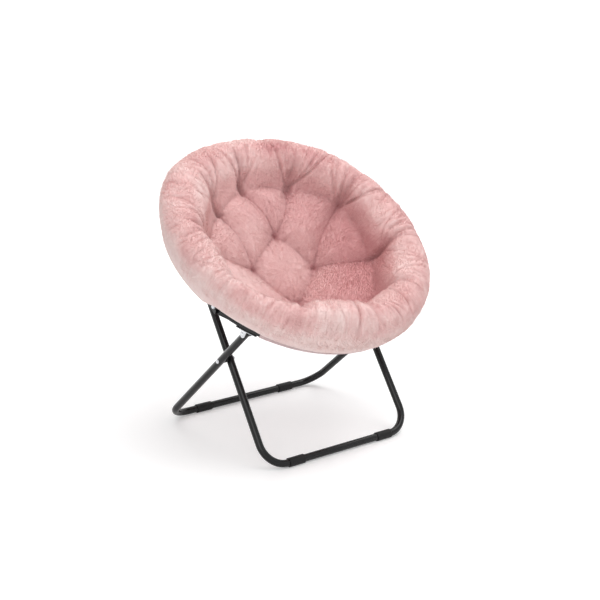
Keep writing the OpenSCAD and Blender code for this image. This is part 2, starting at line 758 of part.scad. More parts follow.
// The cushion's section at angle a, from the middle out, round and back, as [r, n]
function section(a) = concat(
    [for (s = top_station_shares) [s * bowl_r, seat_n(s, a)]],
    [for (q = roll_angles) let (r = roll_here(a), w = q < 0 ? roll_tuck_share : 1)
        [roll_ring_r + flank_reach * flank(a) + r * cos(q) * w, hoop_drop + r * sin(q)]],
    [[groove_out_r, groove_n], [groove_in_r, groove_n]],
    [for (s = under_station_shares) [s * hoop_r, lookup(s * hoop_r, sling_over)]]);

module cushion_whole() {
    rings = len(section(0));
    grid = [for (i = [0 : cushion_steps - 1]) let (a = i * 360 / cushion_steps)
        for (p = section(a)) [p[0] * cos(a), p[0] * sin(a), p[1]]];
    top = [0, 0, hoop_drop - bowl_depth];
    bottom = [0, 0, lookup(0, sling_over)];
    points = concat(grid, [top, bottom]);
    function at(i, j) = (i % cushion_steps) * rings + j;
    top_i = len(grid);
    faces = concat(
        [for (i = [0 : cushion_steps - 1]) [top_i, at(i + 1, 0), at(i, 0)]],
        [for (i = [0 : cushion_steps - 1], j = [0 : rings - 2])
            each [[at(i, j), at(i + 1, j), at(i + 1, j + 1)],
                [at(i, j), at(i + 1, j + 1), at(i, j + 1)]]],
        [for (i = [0 : cushion_steps - 1])
            [top_i + 1, at(i, rings - 1), at(i + 1, rings - 1)]]);
    polyhedron(points = points, faces = faces, convexity = 6);
}

module cushion_front() {
    color(plush_pink) in_hoop_plane() intersection() {
        cushion_whole();
        half_of_hoop(-1);
    }
}

module cushion_back() {
    color(plush_pink) in_hoop_plane() intersection() {
        cushion_whole();
        half_of_hoop(1);
    }
}

front_leg();
rear_leg();
front_foot_left();
front_foot_right();
rear_foot_left();
rear_foot_right();
front_leg_plug_left();
front_leg_plug_right();
rear_leg_plug_left();
rear_leg_plug_right();
cross_rivet_left();
cross_rivet_right();
cross_spacer_left();
cross_spacer_right();
front_hoop();
back_hoop();
hinge_channel_left();
hinge_channel_right();
hinge_pin_left();
hinge_pin_right();
channel_rivets();
front_bracket_left();
front_bracket_right();
front_pivot_rivet_left();
front_pivot_rivet_right();
front_bracket_rivets();
back_bracket_left();
back_bracket_right();
back_pivot_studs();
back_bracket_rivets();
sling_front();
sling_back();
cushion_front();
cushion_back();
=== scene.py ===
"""Looks of the folding saucer chair: plush cushion, cloth sling, painted tube frame."""

import logging
import math
from collections.abc import Callable
from dataclasses import dataclass, field
from enum import Enum

import bmesh
import bpy
import numpy as np
from mathutils import Matrix, Vector, noise


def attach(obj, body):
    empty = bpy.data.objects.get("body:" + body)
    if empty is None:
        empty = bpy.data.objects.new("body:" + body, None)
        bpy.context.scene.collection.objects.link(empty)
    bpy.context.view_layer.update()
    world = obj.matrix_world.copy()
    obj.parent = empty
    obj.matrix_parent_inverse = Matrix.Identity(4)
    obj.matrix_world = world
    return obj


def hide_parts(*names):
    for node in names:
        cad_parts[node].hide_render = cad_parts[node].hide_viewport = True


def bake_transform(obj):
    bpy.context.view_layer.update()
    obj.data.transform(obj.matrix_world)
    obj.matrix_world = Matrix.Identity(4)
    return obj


log = logging.getLogger("saucer_chair")

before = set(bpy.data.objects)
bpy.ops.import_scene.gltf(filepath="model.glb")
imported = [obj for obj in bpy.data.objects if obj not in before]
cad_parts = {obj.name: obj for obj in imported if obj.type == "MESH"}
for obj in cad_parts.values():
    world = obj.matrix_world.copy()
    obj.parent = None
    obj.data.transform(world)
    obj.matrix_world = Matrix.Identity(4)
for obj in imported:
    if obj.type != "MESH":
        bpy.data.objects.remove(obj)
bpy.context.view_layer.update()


# ---------------------------------------------------------------- places


@dataclass(frozen=True)
class RingFrame:
    """The tilted plane of the cushion ring, which the hoop and the soft pieces share."""

    height: float = 0.5907
    ahead: float = 0.00201
    tilt: float = math.radians(31.3)
    hoop_drop: float = 0.053
    hinge_u: float = -0.14128
    hoop_r: float = 0.384
    bend_reach: float = 0.16
    bend_level: float = -0.05

    def to_world(self, x: np.ndarray, u: np.ndarray, n: np.ndarray) -> np.ndarray:
        """Turn places in the ring plane into places in the row frame.

        Args:
            x: Distances across the chair.
            u: Distances up the ring plane, from its centre towards the back.
            n: Distances square to the ring plane.

        Returns:
            An array of points, one row each.
        """
        y = u * math.cos(self.tilt) - n * math.sin(self.tilt) - self.ahead
        z = u * math.sin(self.tilt) + n * math.cos(self.tilt) + self.height
        return np.stack([x, y, z], axis=-1)

    def around(self, radius: np.ndarray, a: np.ndarray, n: np.ndarray) -> np.ndarray:
        """Points from radii, angles round the ring and heights over its plane."""
        return self.to_world(radius * np.cos(a), radius * np.sin(a), n)

    def on_hoop(self, a: float, t: float, r: float) -> np.ndarray:
        """A point at angle a round the ring and t round the hoop's tube, r from its middle."""
        return self.around(self.hoop_r + r * math.cos(t), a, r * math.sin(t) - self.hoop_drop)

    def point(self, x: float, u: float, n: float) -> Vector:
        """One place in the ring plane as a vector in the row frame."""
        return Vector(self.to_world(np.array(x), np.array(u), np.array(n)))


RING = RingFrame()


class Body(str, Enum):
    """The rigid bodies that pieces ride on."""

    FRONT_LEG = "front_leg"
    REAR_LEG = "rear_leg"
    FRONT_HOOP = "front_hoop"
    BACK_HOOP = "back_hoop"


# ---------------------------------------------------------------- node helpers


class Graph:
    """A thin layer over a node tree that keeps node making short."""

    def __init__(self, tree: bpy.types.NodeTree) -> None:
        """Start on a tree.

        Args:
            tree: The node tree to add to.
        """
        self.tree = tree

    def plug(self, node: bpy.types.Node, inputs: dict) -> None:
        """Set a node's inputs.

        Args:
            node: The node.
            inputs: Values or sockets for its inputs, by name or index.
        """
        for key, value in inputs.items():
            if isinstance(value, bpy.types.NodeSocket):
                self.tree.links.new(value, node.inputs[key])
            else:
                node.inputs[key].default_value = value

    def add(self, kind: str, inputs: dict | None = None, **settings: object) -> bpy.types.Node:
        """Add a node.

        Args:
            kind: The node's type.
            inputs: Values or sockets for its inputs, by name or index.
            settings: Properties of the node, set before its inputs.

        Returns:
            The new node.
        """
        node = self.tree.nodes.new(kind)
        for key, value in settings.items():
            setattr(node, key, value)
        self.plug(node, inputs or {})
        return node

    def math(self, operation: str, a: object, b: object = 0.0) -> bpy.types.NodeSocket:
        """Add a Math node and return its output."""
        return self.add("ShaderNodeMath", {0: a, 1: b}, operation=operation).outputs[0]

    def vector(self, operation: str, a: object, b: object) -> bpy.types.NodeSocket:
        """Add a Vector Math node and return its vector."""
        return self.add("ShaderNodeVectorMath", {0: a, 1: b}, operation=operation).outputs[0]

    def ramp(
        self, fac: object, low: float, high: float, to_low: float = 0.0, to_high: float = 1.0
    ) -> bpy.types.NodeSocket:
        """Add a clamped Map Range node and return its output."""
        inputs = {0: fac, 1: low, 2: high, 3: to_low, 4: to_high}
        return self.add("ShaderNodeMapRange", inputs, clamp=True).outputs[0]

    def mix(self, fac: object, a: object, b: object) -> bpy.types.NodeSocket:
        """Add a colour Mix node and return its colour."""
        return self.add("ShaderNodeMix", {0: fac, 6: a, 7: b}, data_type="RGBA").outputs[2]

    def noise(
        self, vector: object, scale: object, detail: float = 2.0, rough: float = 0.5, out: str = "Fac"
    ) -> bpy.types.NodeSocket:
        """Add a Noise node and return one of its outputs."""
        inputs = {"Vector": vector, "Scale": scale, "Detail": detail, "Roughness": rough}
        return self.add("ShaderNodeTexNoise", inputs).outputs[out]

    def bump(self, height: object, strength: float, distance: float) -> bpy.types.NodeSocket:
        """Add a Bump node and return its normal."""
        inputs = {"Height": height, "Strength": strength, "Distance": distance}
        return self.add("ShaderNodeBump", inputs).outputs[0]

    def coords(self, kind: str = "Object") -> bpy.types.NodeSocket:
        """Add a Texture Coordinate node and return one of its outputs."""
        return self.add("ShaderNodeTexCoord").outputs[kind]

    def attribute(self, name: str, out: str = "Fac") -> bpy.types.NodeSocket:
        """Add an Attribute node and return one of its outputs."""
        return self.add("ShaderNodeAttribute", attribute_name=name).outputs[out]


def rgb(r: float, g: float, b: float) -> tuple[float, float, float, float]:
    """An opaque linear colour."""
    return (r, g, b, 1.0)


def new_tree(
    name: str, kind: str, inputs: dict, outputs: tuple
) -> tuple[Graph, bpy.types.Node, bpy.types.Node]:
    """Make a node tree with named sockets.

    Args:
        name: The tree's name.
        kind: The tree's type.
        inputs: Defaults by name, where None stands for geometry.
        outputs: Names of the outputs, which are values or, in Geometry Nodes, geometry.

    Returns:
        The tree's graph, its input node and its output node.
    """
    tree = bpy.data.node_groups.new(name, kind)
    kinds = {float: "NodeSocketFloat", int: "NodeSocketInt", type(None): "NodeSocketGeometry"}
    for label, value in inputs.items():
        socket = tree.interface.new_socket(label, in_out="INPUT", socket_type=kinds[type(value)])
        if value is not None:
            socket.default_value = value
    out_kind = "NodeSocketGeometry" if kind == "GeometryNodeTree" else "NodeSocketFloat"
    for label in outputs:
        tree.interface.new_socket(label, in_out="OUTPUT", socket_type=out_kind)
    graph = Graph(tree)
    return graph, graph.add("NodeGroupInput"), graph.add("NodeGroupOutput")


def grain_group() -> bpy.types.NodeTree:
    """Build the shared group of fine grain with broad patches, once.

    Returns:
        The group, with a height and a patch mask as outputs.
    """
    made = bpy.data.node_groups.get("fine_grain")
    if made:
        return made
    inputs = {"Grain Scale": 900.0, "Patch Scale": 14.0, "Grain Depth": 0.5}
    g, inn, out = new_tree("fine_grain", "ShaderNodeTree", inputs, ("Height", "Patches"))
    coords = g.coords()
    fine = g.noise(coords, inn.outputs["Grain Scale"], 3.0)
    broad = g.noise(coords, inn.outputs["Patch Scale"], 4.0)
    g.plug(out, {"Height": g.math("MULTIPLY", fine, inn.outputs["Grain Depth"]), "Patches": broad})
    return g.tree


def weave_group() -> bpy.types.NodeTree:
    """Build the shared group of a plain weave, once.

    Returns:
        The group, with the weave's height and a thread mask as outputs.
    """
    made = bpy.data.node_groups.get("plain_weave")
    if made:
        return made
    outputs = ("Height", "Threads Mask")
    g, inn, out = new_tree("plain_weave", "ShaderNodeTree", {"Threads": 900.0}, outputs)
    uv = g.coords("UV")
    parts = g.add("ShaderNodeSeparateXYZ", {0: uv})
    warp = g.math("SINE", g.math("MULTIPLY", parts.outputs[0], inn.outputs["Threads"]))
    weft = g.math("SINE", g.math("MULTIPLY", parts.outputs[1], inn.outputs["Threads"]))
    cross = g.math("MULTIPLY", warp, weft)
    slub = g.noise(uv, 260.0, 3.0)
    height = g.math("ADD", g.math("MULTIPLY", cross, 0.5), slub)
    g.plug(out, {"Height": height, "Threads Mask": g.ramp(cross, -0.6, 0.6)})
    return g.tree


# ---------------------------------------------------------------- finishes


@dataclass(frozen=True)
class Finish:
    """What every finish shares."""

    name: str

    def start(self) -> tuple[bpy.types.Material, Graph, bpy.types.Node]:
        """Make the empty material.

        Returns:
            The material, its graph and its Principled shader.
        """
        material = bpy.data.materials.new(self.name)
        material.use_nodes = True
        return material, Graph(material.node_tree), material.node_tree.nodes["Principled BSDF"]

    def grain(self, g: Graph, **scales: float) -> bpy.types.Node:
        """Add the shared grain to a graph, with its inputs named by words joined with _."""
        inputs = {key.replace("_", " ").title(): value for key, value in scales.items()}
        return g.add("ShaderNodeGroup", inputs, node_tree=grain_group())


@dataclass(frozen=True)
class GlossPaint(Finish):
    """Black powder paint with a soft orange peel."""

    colour: tuple = rgb(0.0055, 0.0055, 0.006)
    dusty: tuple = rgb(0.012, 0.012, 0.013)
    roughness: float = 0.20
    peel: float = 0.05

    def make(self) -> bpy.types.Material:
        """Build the material.

        Returns:
            The material.
        """
        material, g, shader = self.start()
        grain = self.grain(g, grain_scale=420.0, patch_scale=9.0)
        patches = grain.outputs["Patches"]
        g.plug(shader, {
            "Base Color": g.mix(g.ramp(patches, 0.45, 0.75), self.colour, self.dusty),
            "Roughness": g.ramp(patches, 0.3, 0.7, self.roughness - 0.05, self.roughness + 0.08),
            "Normal": g.bump(grain.outputs["Height"], self.peel, 0.0006),
            "Specular IOR Level": 0.30,
        })
        return material


@dataclass(frozen=True)
class ZincPlate(Finish):
    """Bright zinc plating with a rolled grain and dull handling marks."""

    colour: tuple = rgb(0.60, 0.61, 0.63)
    dull: tuple = rgb(0.44, 0.45, 0.48)
    roughness: float = 0.32

    def make(self) -> bpy.types.Material:
        """Build the material.

        Returns:
            The material.
        """
        material, g, shader = self.start()
        stretched = g.add("ShaderNodeMapping", {0: g.coords(), 3: (900.0, 120.0, 900.0)}).outputs[0]
        patches = self.grain(g, patch_scale=70.0).outputs["Patches"]
        g.plug(shader, {
            "Base Color": g.mix(g.ramp(patches, 0.4, 0.7), self.colour, self.dull),
            "Roughness": g.ramp(patches, 0.3, 0.7, self.roughness - 0.08, self.roughness + 0.16),
            "Normal": g.bump(g.noise(stretched, 1.0), 0.12, 0.0003),
            "Metallic": 1.0,
        })
        return material


@dataclass(frozen=True)
class MouldedPlastic(Finish):
    """Satin black plastic with a fine moulded grain."""

    colour: tuple = rgb(0.0075, 0.0075, 0.008)
    dusty: tuple = rgb(0.014, 0.0135, 0.0135)
    roughness: float = 0.48

    def make(self) -> bpy.types.Material:
        """Build the material.

        Returns:
            The material.
        """
        material, g, shader = self.start()
        grain = self.grain(g, grain_scale=1400.0, patch_scale=40.0)
        patches = grain.outputs["Patches"]
        g.plug(shader, {
            "Base Color": g.mix(g.ramp(patches, 0.4, 0.75), self.colour, self.dusty),
            "Roughness": g.ramp(patches, 0.3, 0.7, self.roughness - 0.06, self.roughness + 0.1),
            "Normal": g.bump(grain.outputs["Height"], 0.25, 0.0003),
            "Specular IOR Level": 0.25,
        })
        return material


@dataclass(frozen=True)
class BackingCloth(Finish):
    """Plain woven cloth of the sling and its hem."""

    colour: tuple = rgb(0.74, 0.555, 0.555)
    dark: tuple = rgb(0.60, 0.435, 0.440)
    threads: float = 5200.0

    def make(self) -> bpy.types.Material:
        """Build the material.

        Returns:
            The material.
        """
        material, g, shader = self.start()
        weave = g.add("ShaderNodeGroup", {"Threads": self.threads}, node_tree=weave_group())
        patches = self.grain(g, patch_scale=22.0).outputs["Patches"]
        tone = g.mix(weave.outputs["Threads Mask"], self.dark, self.colour)
        base = g.mix(g.ramp(patches, 0.35, 0.7, 0.0, 0.45), tone, self.dark)
        g.plug(shader, {
            # The seam mask darkens the cloth along the seams, and as painted shade in the gathers under the
            # hoop.
            "Base Color": g.mix(g.ramp(g.attribute("seam"), 0.2, 1.0, 0.0, 0.5), base, self.dark),
            "Normal": g.bump(weave.outputs["Height"], 0.5, 0.0006),
            "Roughness": 0.88,
            "Sheen Weight": 0.25,
        })
        return material


@dataclass(frozen=True)
class SewingThread(Finish):
    """Twisted sewing thread, a little lighter than the cloth."""

    colour: tuple = rgb(0.80, 0.62, 0.62)
    dark: tuple = rgb(0.58, 0.42, 0.43)

    def make(self) -> bpy.types.Material:
        """Build the material.

        Returns:
            The material.
        """
        material, g, shader = self.start()
        twist = g.noise(g.coords(), 2600.0, 1.0)
        g.plug(shader, {
            "Base Color": g.mix(g.ramp(twist, 0.35, 0.65), self.dark, self.colour),
            "Normal": g.bump(twist, 0.4, 0.0002),
            "Roughness": 0.7,
        })
        return material


@dataclass(frozen=True)
class Plush(Finish):
    """Short-pile faux fur: clumped and brushed, with painted shade that deepens it in the folds and the
    bowl, painted light that makes it pale on the lit flank and rims, and single blades pale at random.
    """

    colour: tuple = rgb(0.800, 0.525, 0.510)
    # Painted shade: the next colour is that of the shaded bowl and its shaded side, and also of deeper
    # patches of tone.
    deep: tuple = rgb(0.650, 0.325, 0.328)
    # Painted light: the next colour is that of the lit flank, rims and top edge; fine fibres and single
    # blades also take it.
    pale: tuple = rgb(0.900, 0.728, 0.703)
    # Painted shade: the next colour darkens the pile in its folds, pits and creases.
    fold_shade: tuple = rgb(0.400, 0.135, 0.145)
    sheen: float = 0.40

    def make(self) -> bpy.types.Material:
        """Build the material.

        Returns:
            The material.
        """
        material, g, shader = self.start()
        coords = g.coords()
        lay = g.attribute("lay", "Vector")
        brushed = g.add("ShaderNodeMapping", {0: lay, 3: (190.0, 190.0, 22.0)}).outputs[0]
        streaks = g.noise(brushed, 1.0, 3.0, 0.6)
        fibres = g.noise(coords, 560.0, 3.0, 0.7)
        locks = g.noise(coords, 170.0, 3.0, 0.6)
        shade = g.attribute("shade")
        rough_up = g.ramp(shade, 0.15, 0.65, 0.18, 0.70)
        shade = g.math("ADD", shade, g.math("MULTIPLY", g.math("SUBTRACT", locks, 0.5), rough_up))
        shade = g.math("ADD", shade, g.math("MULTIPLY", g.math("SUBTRACT", streaks, 0.5), 0.55))
        # The shade attribute paints light and shade: towards deep in the shaded bowl, towards pale on the
        # lit flank and rims.
        base = g.mix(g.ramp(shade, 0.5, 1.0), self.colour, self.deep)
        base = g.mix(g.ramp(shade, 0.0, 0.5, 1.0, 0.0), base, self.pale)
        base = g.mix(g.ramp(fibres, 0.50, 0.80, 0.0, 0.20), base, self.pale)
        base = g.mix(g.ramp(g.attribute("tone"), 0.60, 1.0, 0.0, 0.40), base, self.pale)
        # Painted shade: the fold mask darkens the pile in its pits, creases, pleats and wrinkles.
        base = g.mix(g.ramp(g.attribute("fold"), 0.05, 1.0, 0.0, 0.85), base, self.fold_shade)
        height = g.math("ADD", g.math("MULTIPLY", streaks, 0.5), g.math("MULTIPLY", fibres, 0.5))
        g.plug(shader, {
            "Base Color": base,
            "Normal": g.bump(height, 0.25, 0.004),
            "Roughness": 0.95,
            "Specular IOR Level": 0.10,
            "Sheen Weight": self.sheen,
            "Sheen Roughness": 0.5,
            "Sheen Tint": rgb(1.0, 0.90, 0.88),
        })
        return material


# ---------------------------------------------------------------- meshes


def new_object(name: str, verts: list, edges: list, faces: list) -> bpy.types.Object:
    """Make a mesh object and link it to the scene.

    Args:
        name: Name of the object and of its mesh.
        verts: Places of its points.
        edges: Pairs of points.
        faces: Rounds of points.

    Returns:
        The new object.
    """
    mesh = bpy.data.meshes.new(name)
    mesh.from_pydata(verts, edges, faces)
    obj = bpy.data.objects.new(name, mesh)
    bpy.context.scene.collection.objects.link(obj)
    return obj


def grid_mesh(
    name: str, grid: np.ndarray, closed: bool, top: Vector | None, bottom: Vector | None
) -> bpy.types.Object:
    """Make a smooth mesh from rows of points.

    Args:
        name: Name of the object.
        grid: Points as [row, station, xyz].
        closed: Whether the last row joins the first.
        top: A pole that closes station 0, or None.
        bottom: A pole that closes the last station, or None.

    Returns:
        The new object, linked to the scene.
    """
    rows, stations = grid.shape[:2]
    verts = [tuple(p) for p in grid.reshape(-1, 3)]
    faces: list[tuple[int, ...]] = []
    pairs = [(i * stations, (i + 1) % rows * stations) for i in range(rows if closed else rows - 1)]
    for i, j in pairs:
        faces += [(i + k, i + k + 1, j + k + 1, j + k) for k in range(stations - 1)]
    if top is not None:
        faces += [(len(verts), i, j) for i, j in pairs]
        verts.append(tuple(top))
    if bottom is not None:
        end = stations - 1
        faces += [(j + end, i + end, len(verts)) for i, j in pairs]
        verts.append(tuple(bottom))
    obj = new_object(name, verts, [], faces)
    obj.data.update()
    for polygon in obj.data.polygons:
        polygon.use_smooth = True
    return obj


def face_outward(obj: bpy.types.Object, seal: bool = False) -> None:
    """Turn every face of a mesh outwards.

    Args:
        obj: The object.
        seal: Whether points that meet are joined and open ends are closed first.
    """
    bm = bmesh.new()
    bm.from_mesh(obj.data)
    if seal:
        bmesh.ops.remove_doubles(bm, verts=bm.verts, dist=1e-6)
        bmesh.ops.holes_fill(bm, edges=[e for e in bm.edges if e.is_boundary])
    bmesh.ops.recalc_face_normals(bm, faces=bm.faces)
    bm.to_mesh(obj.data)
    bm.free()


def unwrap(obj: bpy.types.Object, flatten: Callable[[Vector], tuple[float, float]]) -> None:
    """Give an object a UV map.

    Args:
        obj: The object.
        flatten: Turns a point's place into its place on the flat cloth.
    """
    uv = obj.data.uv_layers.new(name="UVMap")
    for loop in obj.data.loops:
        uv.data[loop.index].uv = flatten(obj.data.vertices[loop.vertex_index].co)


def read_rows(items: object, key: str) -> np.ndarray:
    """Read one vector of each item.

    Args:
        items: A collection of a mesh, such as its vertices.
        key: The property to read.

    Returns:
        The vectors, one row each.
    """
    values = np.empty(len(items) * 3)
    items.foreach_get(key, values)
    return values.reshape(-1, 3)


def store(obj: bpy.types.Object, name: str, values: np.ndarray) -> None:
    """Write an attribute of an object's points.

    Args:
        obj: The object.
        name: The attribute's name.
        values: A number or a row of three for each point.
    """
    kind, key = ("FLOAT_VECTOR", "vector") if values.ndim == 2 else ("FLOAT", "value")
    obj.data.attributes.new(name, kind, "POINT").data.foreach_set(key, values.ravel())


def grow(host: bpy.types.Object, tree: bpy.types.NodeTree, values: dict) -> None:
    """Run a Geometry Nodes tree on an object and keep what it makes as the object's mesh.

    Args:
        host: The object.
        tree: The tree.
        values: Values of the tree's inputs, by name.
    """
    modifier = host.modifiers.new(tree.name, "NODES")
    modifier.node_group = tree
    for item in tree.interface.items_tree:
        if item.in_out == "INPUT" and item.name in values:
            modifier[item.identifier] = values[item.name]
    bpy.context.view_layer.update()
    evaluated = host.evaluated_get(bpy.context.evaluated_depsgraph_get())
    baked = bpy.data.meshes.new_from_object(evaluated)
    host.modifiers.clear()
    host.data = baked
    baked.name = host.name


def dress(obj: bpy.types.Object, material: bpy.types.Material) -> None:
    """Give an object one material on all its faces."""
    obj.data.materials.clear()
    obj.data.materials.append(material)


# ---------------------------------------------------------------- forms


def smooth_step(x: np.ndarray, low: float, high: float) -> np.ndarray:
    """Rise from 0 at low to 1 at high without a corner."""
    t = np.clip((x - low) / (high - low), 0.0, 1.0)
    return t * t * (3.0 - 2.0 * t)


def plateau(x: np.ndarray, low: float, full: float, past: float, end: float) -> np.ndarray:
    """Rise from 0 at low to 1 at full, stay, and fall from 1 at past to 0 at end."""
    return smooth_step(x, low, full) * (1 - smooth_step(x, past, end))


def off_angle(a: np.ndarray, middle: np.ndarray) -> np.ndarray:
    """Angles measured from a middle the short way round, in radians."""
    return (a - middle + math.pi) % (2 * math.pi) - math.pi


def bump_round(a: np.ndarray, middle: float, width: float) -> np.ndarray:
    """A soft bump round the ring, with its top at an angle in degrees and its width in radians."""
    return np.exp(-((off_angle(a, math.radians(middle)) / width) ** 2))


def valley(d: np.ndarray, width: float) -> np.ndarray:
    """Section of a pulled-in seam: a sharp bottom between wide, rounded shoulders.

    Args:
        d: Distances from the seam.
        width: Distance at which the shoulders end.

    Returns:
        Depths from 1 in the seam to 0 beyond the shoulders.
    """
    s = np.clip(d / width, 0.0, 1.0)
    sharp = 1.0 - np.sqrt(np.clip(1.0 - (1.0 - s) ** 2, 0.0, 1.0))
    return 0.45 * sharp + 0.55 * (1.0 - s) ** 2 * (1.0 + 2.0 * s)


def clouds(points: np.ndarray, *layers: tuple[float, float]) -> np.ndarray:
    """Sum of noises at each point, where every layer is a frequency and a strength."""
    return np.array([sum(noise.noise(Vector(p) * f) * s for f, s in layers) for p in points])


# ---------------------------------------------------------------- stuffing


@dataclass
class Stuffing:
    """The cloth simulation that blows the cushion up between its tufts."""

    row_step: int = 4
    station_step: int = 2
    pressure: float = 4.0
    frames: int = 20
    cap: float = 0.010
    pole_hold: tuple = (0.5, 1.0)
    fabric: tuple = (
        ("quality", 6), ("mass", 0.3), ("tension_stiffness", 14.0), ("compression_stiffness", 8.0),
        ("shear_stiffness", 8.0), ("bending_stiffness", 0.4), ("use_pressure", True),
    )

    def blow(self, grid: np.ndarray, held: np.ndarray) -> np.ndarray:
        """Run the cloth on a coarse copy and say how far each point moves.

        Args:
            grid: Points as [row, station, xyz]; the rows close on themselves.
            held: Share from 0 to 1 by which each point is held in place.

        Returns:
            The movement of every point of the grid.
        """
        coarse = grid[:: self.row_step, :: self.station_step]
        hold = held[:: self.row_step, :: self.station_step].ravel()
        poles = [Vector(coarse[:, end].mean(axis=0)) for end in (0, -1)]
        shell = grid_mesh("stuffing", coarse, True, *poles)
        face_outward(shell)
        group = shell.vertex_groups.new(name="held")
        for index, share in enumerate(np.append(hold, self.pole_hold)):
            group.add([index], float(share), "REPLACE")
        cloth = shell.modifiers.new("cloth", "CLOTH")
        for key, value in self.fabric:
            setattr(cloth.settings, key, value)
        cloth.settings.uniform_pressure_force = self.pressure
        cloth.settings.effector_weights.gravity = 0.0
        cloth.settings.vertex_group_mass = "held"
        cloth.collision_settings.use_collision = False
        scene = bpy.context.scene
        for frame_number in range(1, self.frames + 1):
            scene.frame_set(frame_number)
        result = shell.evaluated_get(bpy.context.evaluated_depsgraph_get()).data
        moved = read_rows(result.vertices, "co")[: len(hold)].reshape(coarse.shape) - coarse
        scene.frame_set(1)
        bpy.data.objects.remove(shell)
        length = np.linalg.norm(moved, axis=-1, keepdims=True)
        most, mean = 1000 * length.max(), 1000 * length.mean()
        log.info("stuffing: moves %.1f mm at most, %.1f mm on average", most, mean)
        moved = moved * np.minimum(1.0, self.cap / np.maximum(length, 1e-9))
        return self.refine(moved, grid.shape[:2])

    def refine(self, moved: np.ndarray, shape: tuple[int, int]) -> np.ndarray:
        """Spread movements of the coarse grid smoothly over the fine one.

        Args:
            moved: Movements as [row, station, xyz] on the coarse grid.
            shape: Rows and stations of the fine grid.

        Returns:
            Movements on the fine grid.
        """
        rows, stations = shape
        at_row = np.arange(rows) / self.row_step
        low = np.floor(at_row).astype(int)
        share = (at_row - low)[:, None, None]
        around = moved[low % len(moved)] * (1 - share) + moved[(low + 1) % len(moved)] * share
        at_station = np.minimum(np.arange(stations) / self.station_step, moved.shape[1] - 1)
        low = np.minimum(np.floor(at_station).astype(int), moved.shape[1] - 2)
        share = (at_station - low)[None, :, None]
        fine = around[:, low] * (1 - share) + around[:, low + 1] * share
        for _ in range(2):
            fine = sum(np.roll(fine, k, axis=0) for k in range(-2, 3)) / 5
            padded = np.pad(fine, ((0, 0), (1, 1), (0, 0)), mode="edge")
            fine = (padded[:, :-2] + padded[:, 1:-1] + padded[:, 2:]) / 3
        return fine


# ---------------------------------------------------------------- cushion


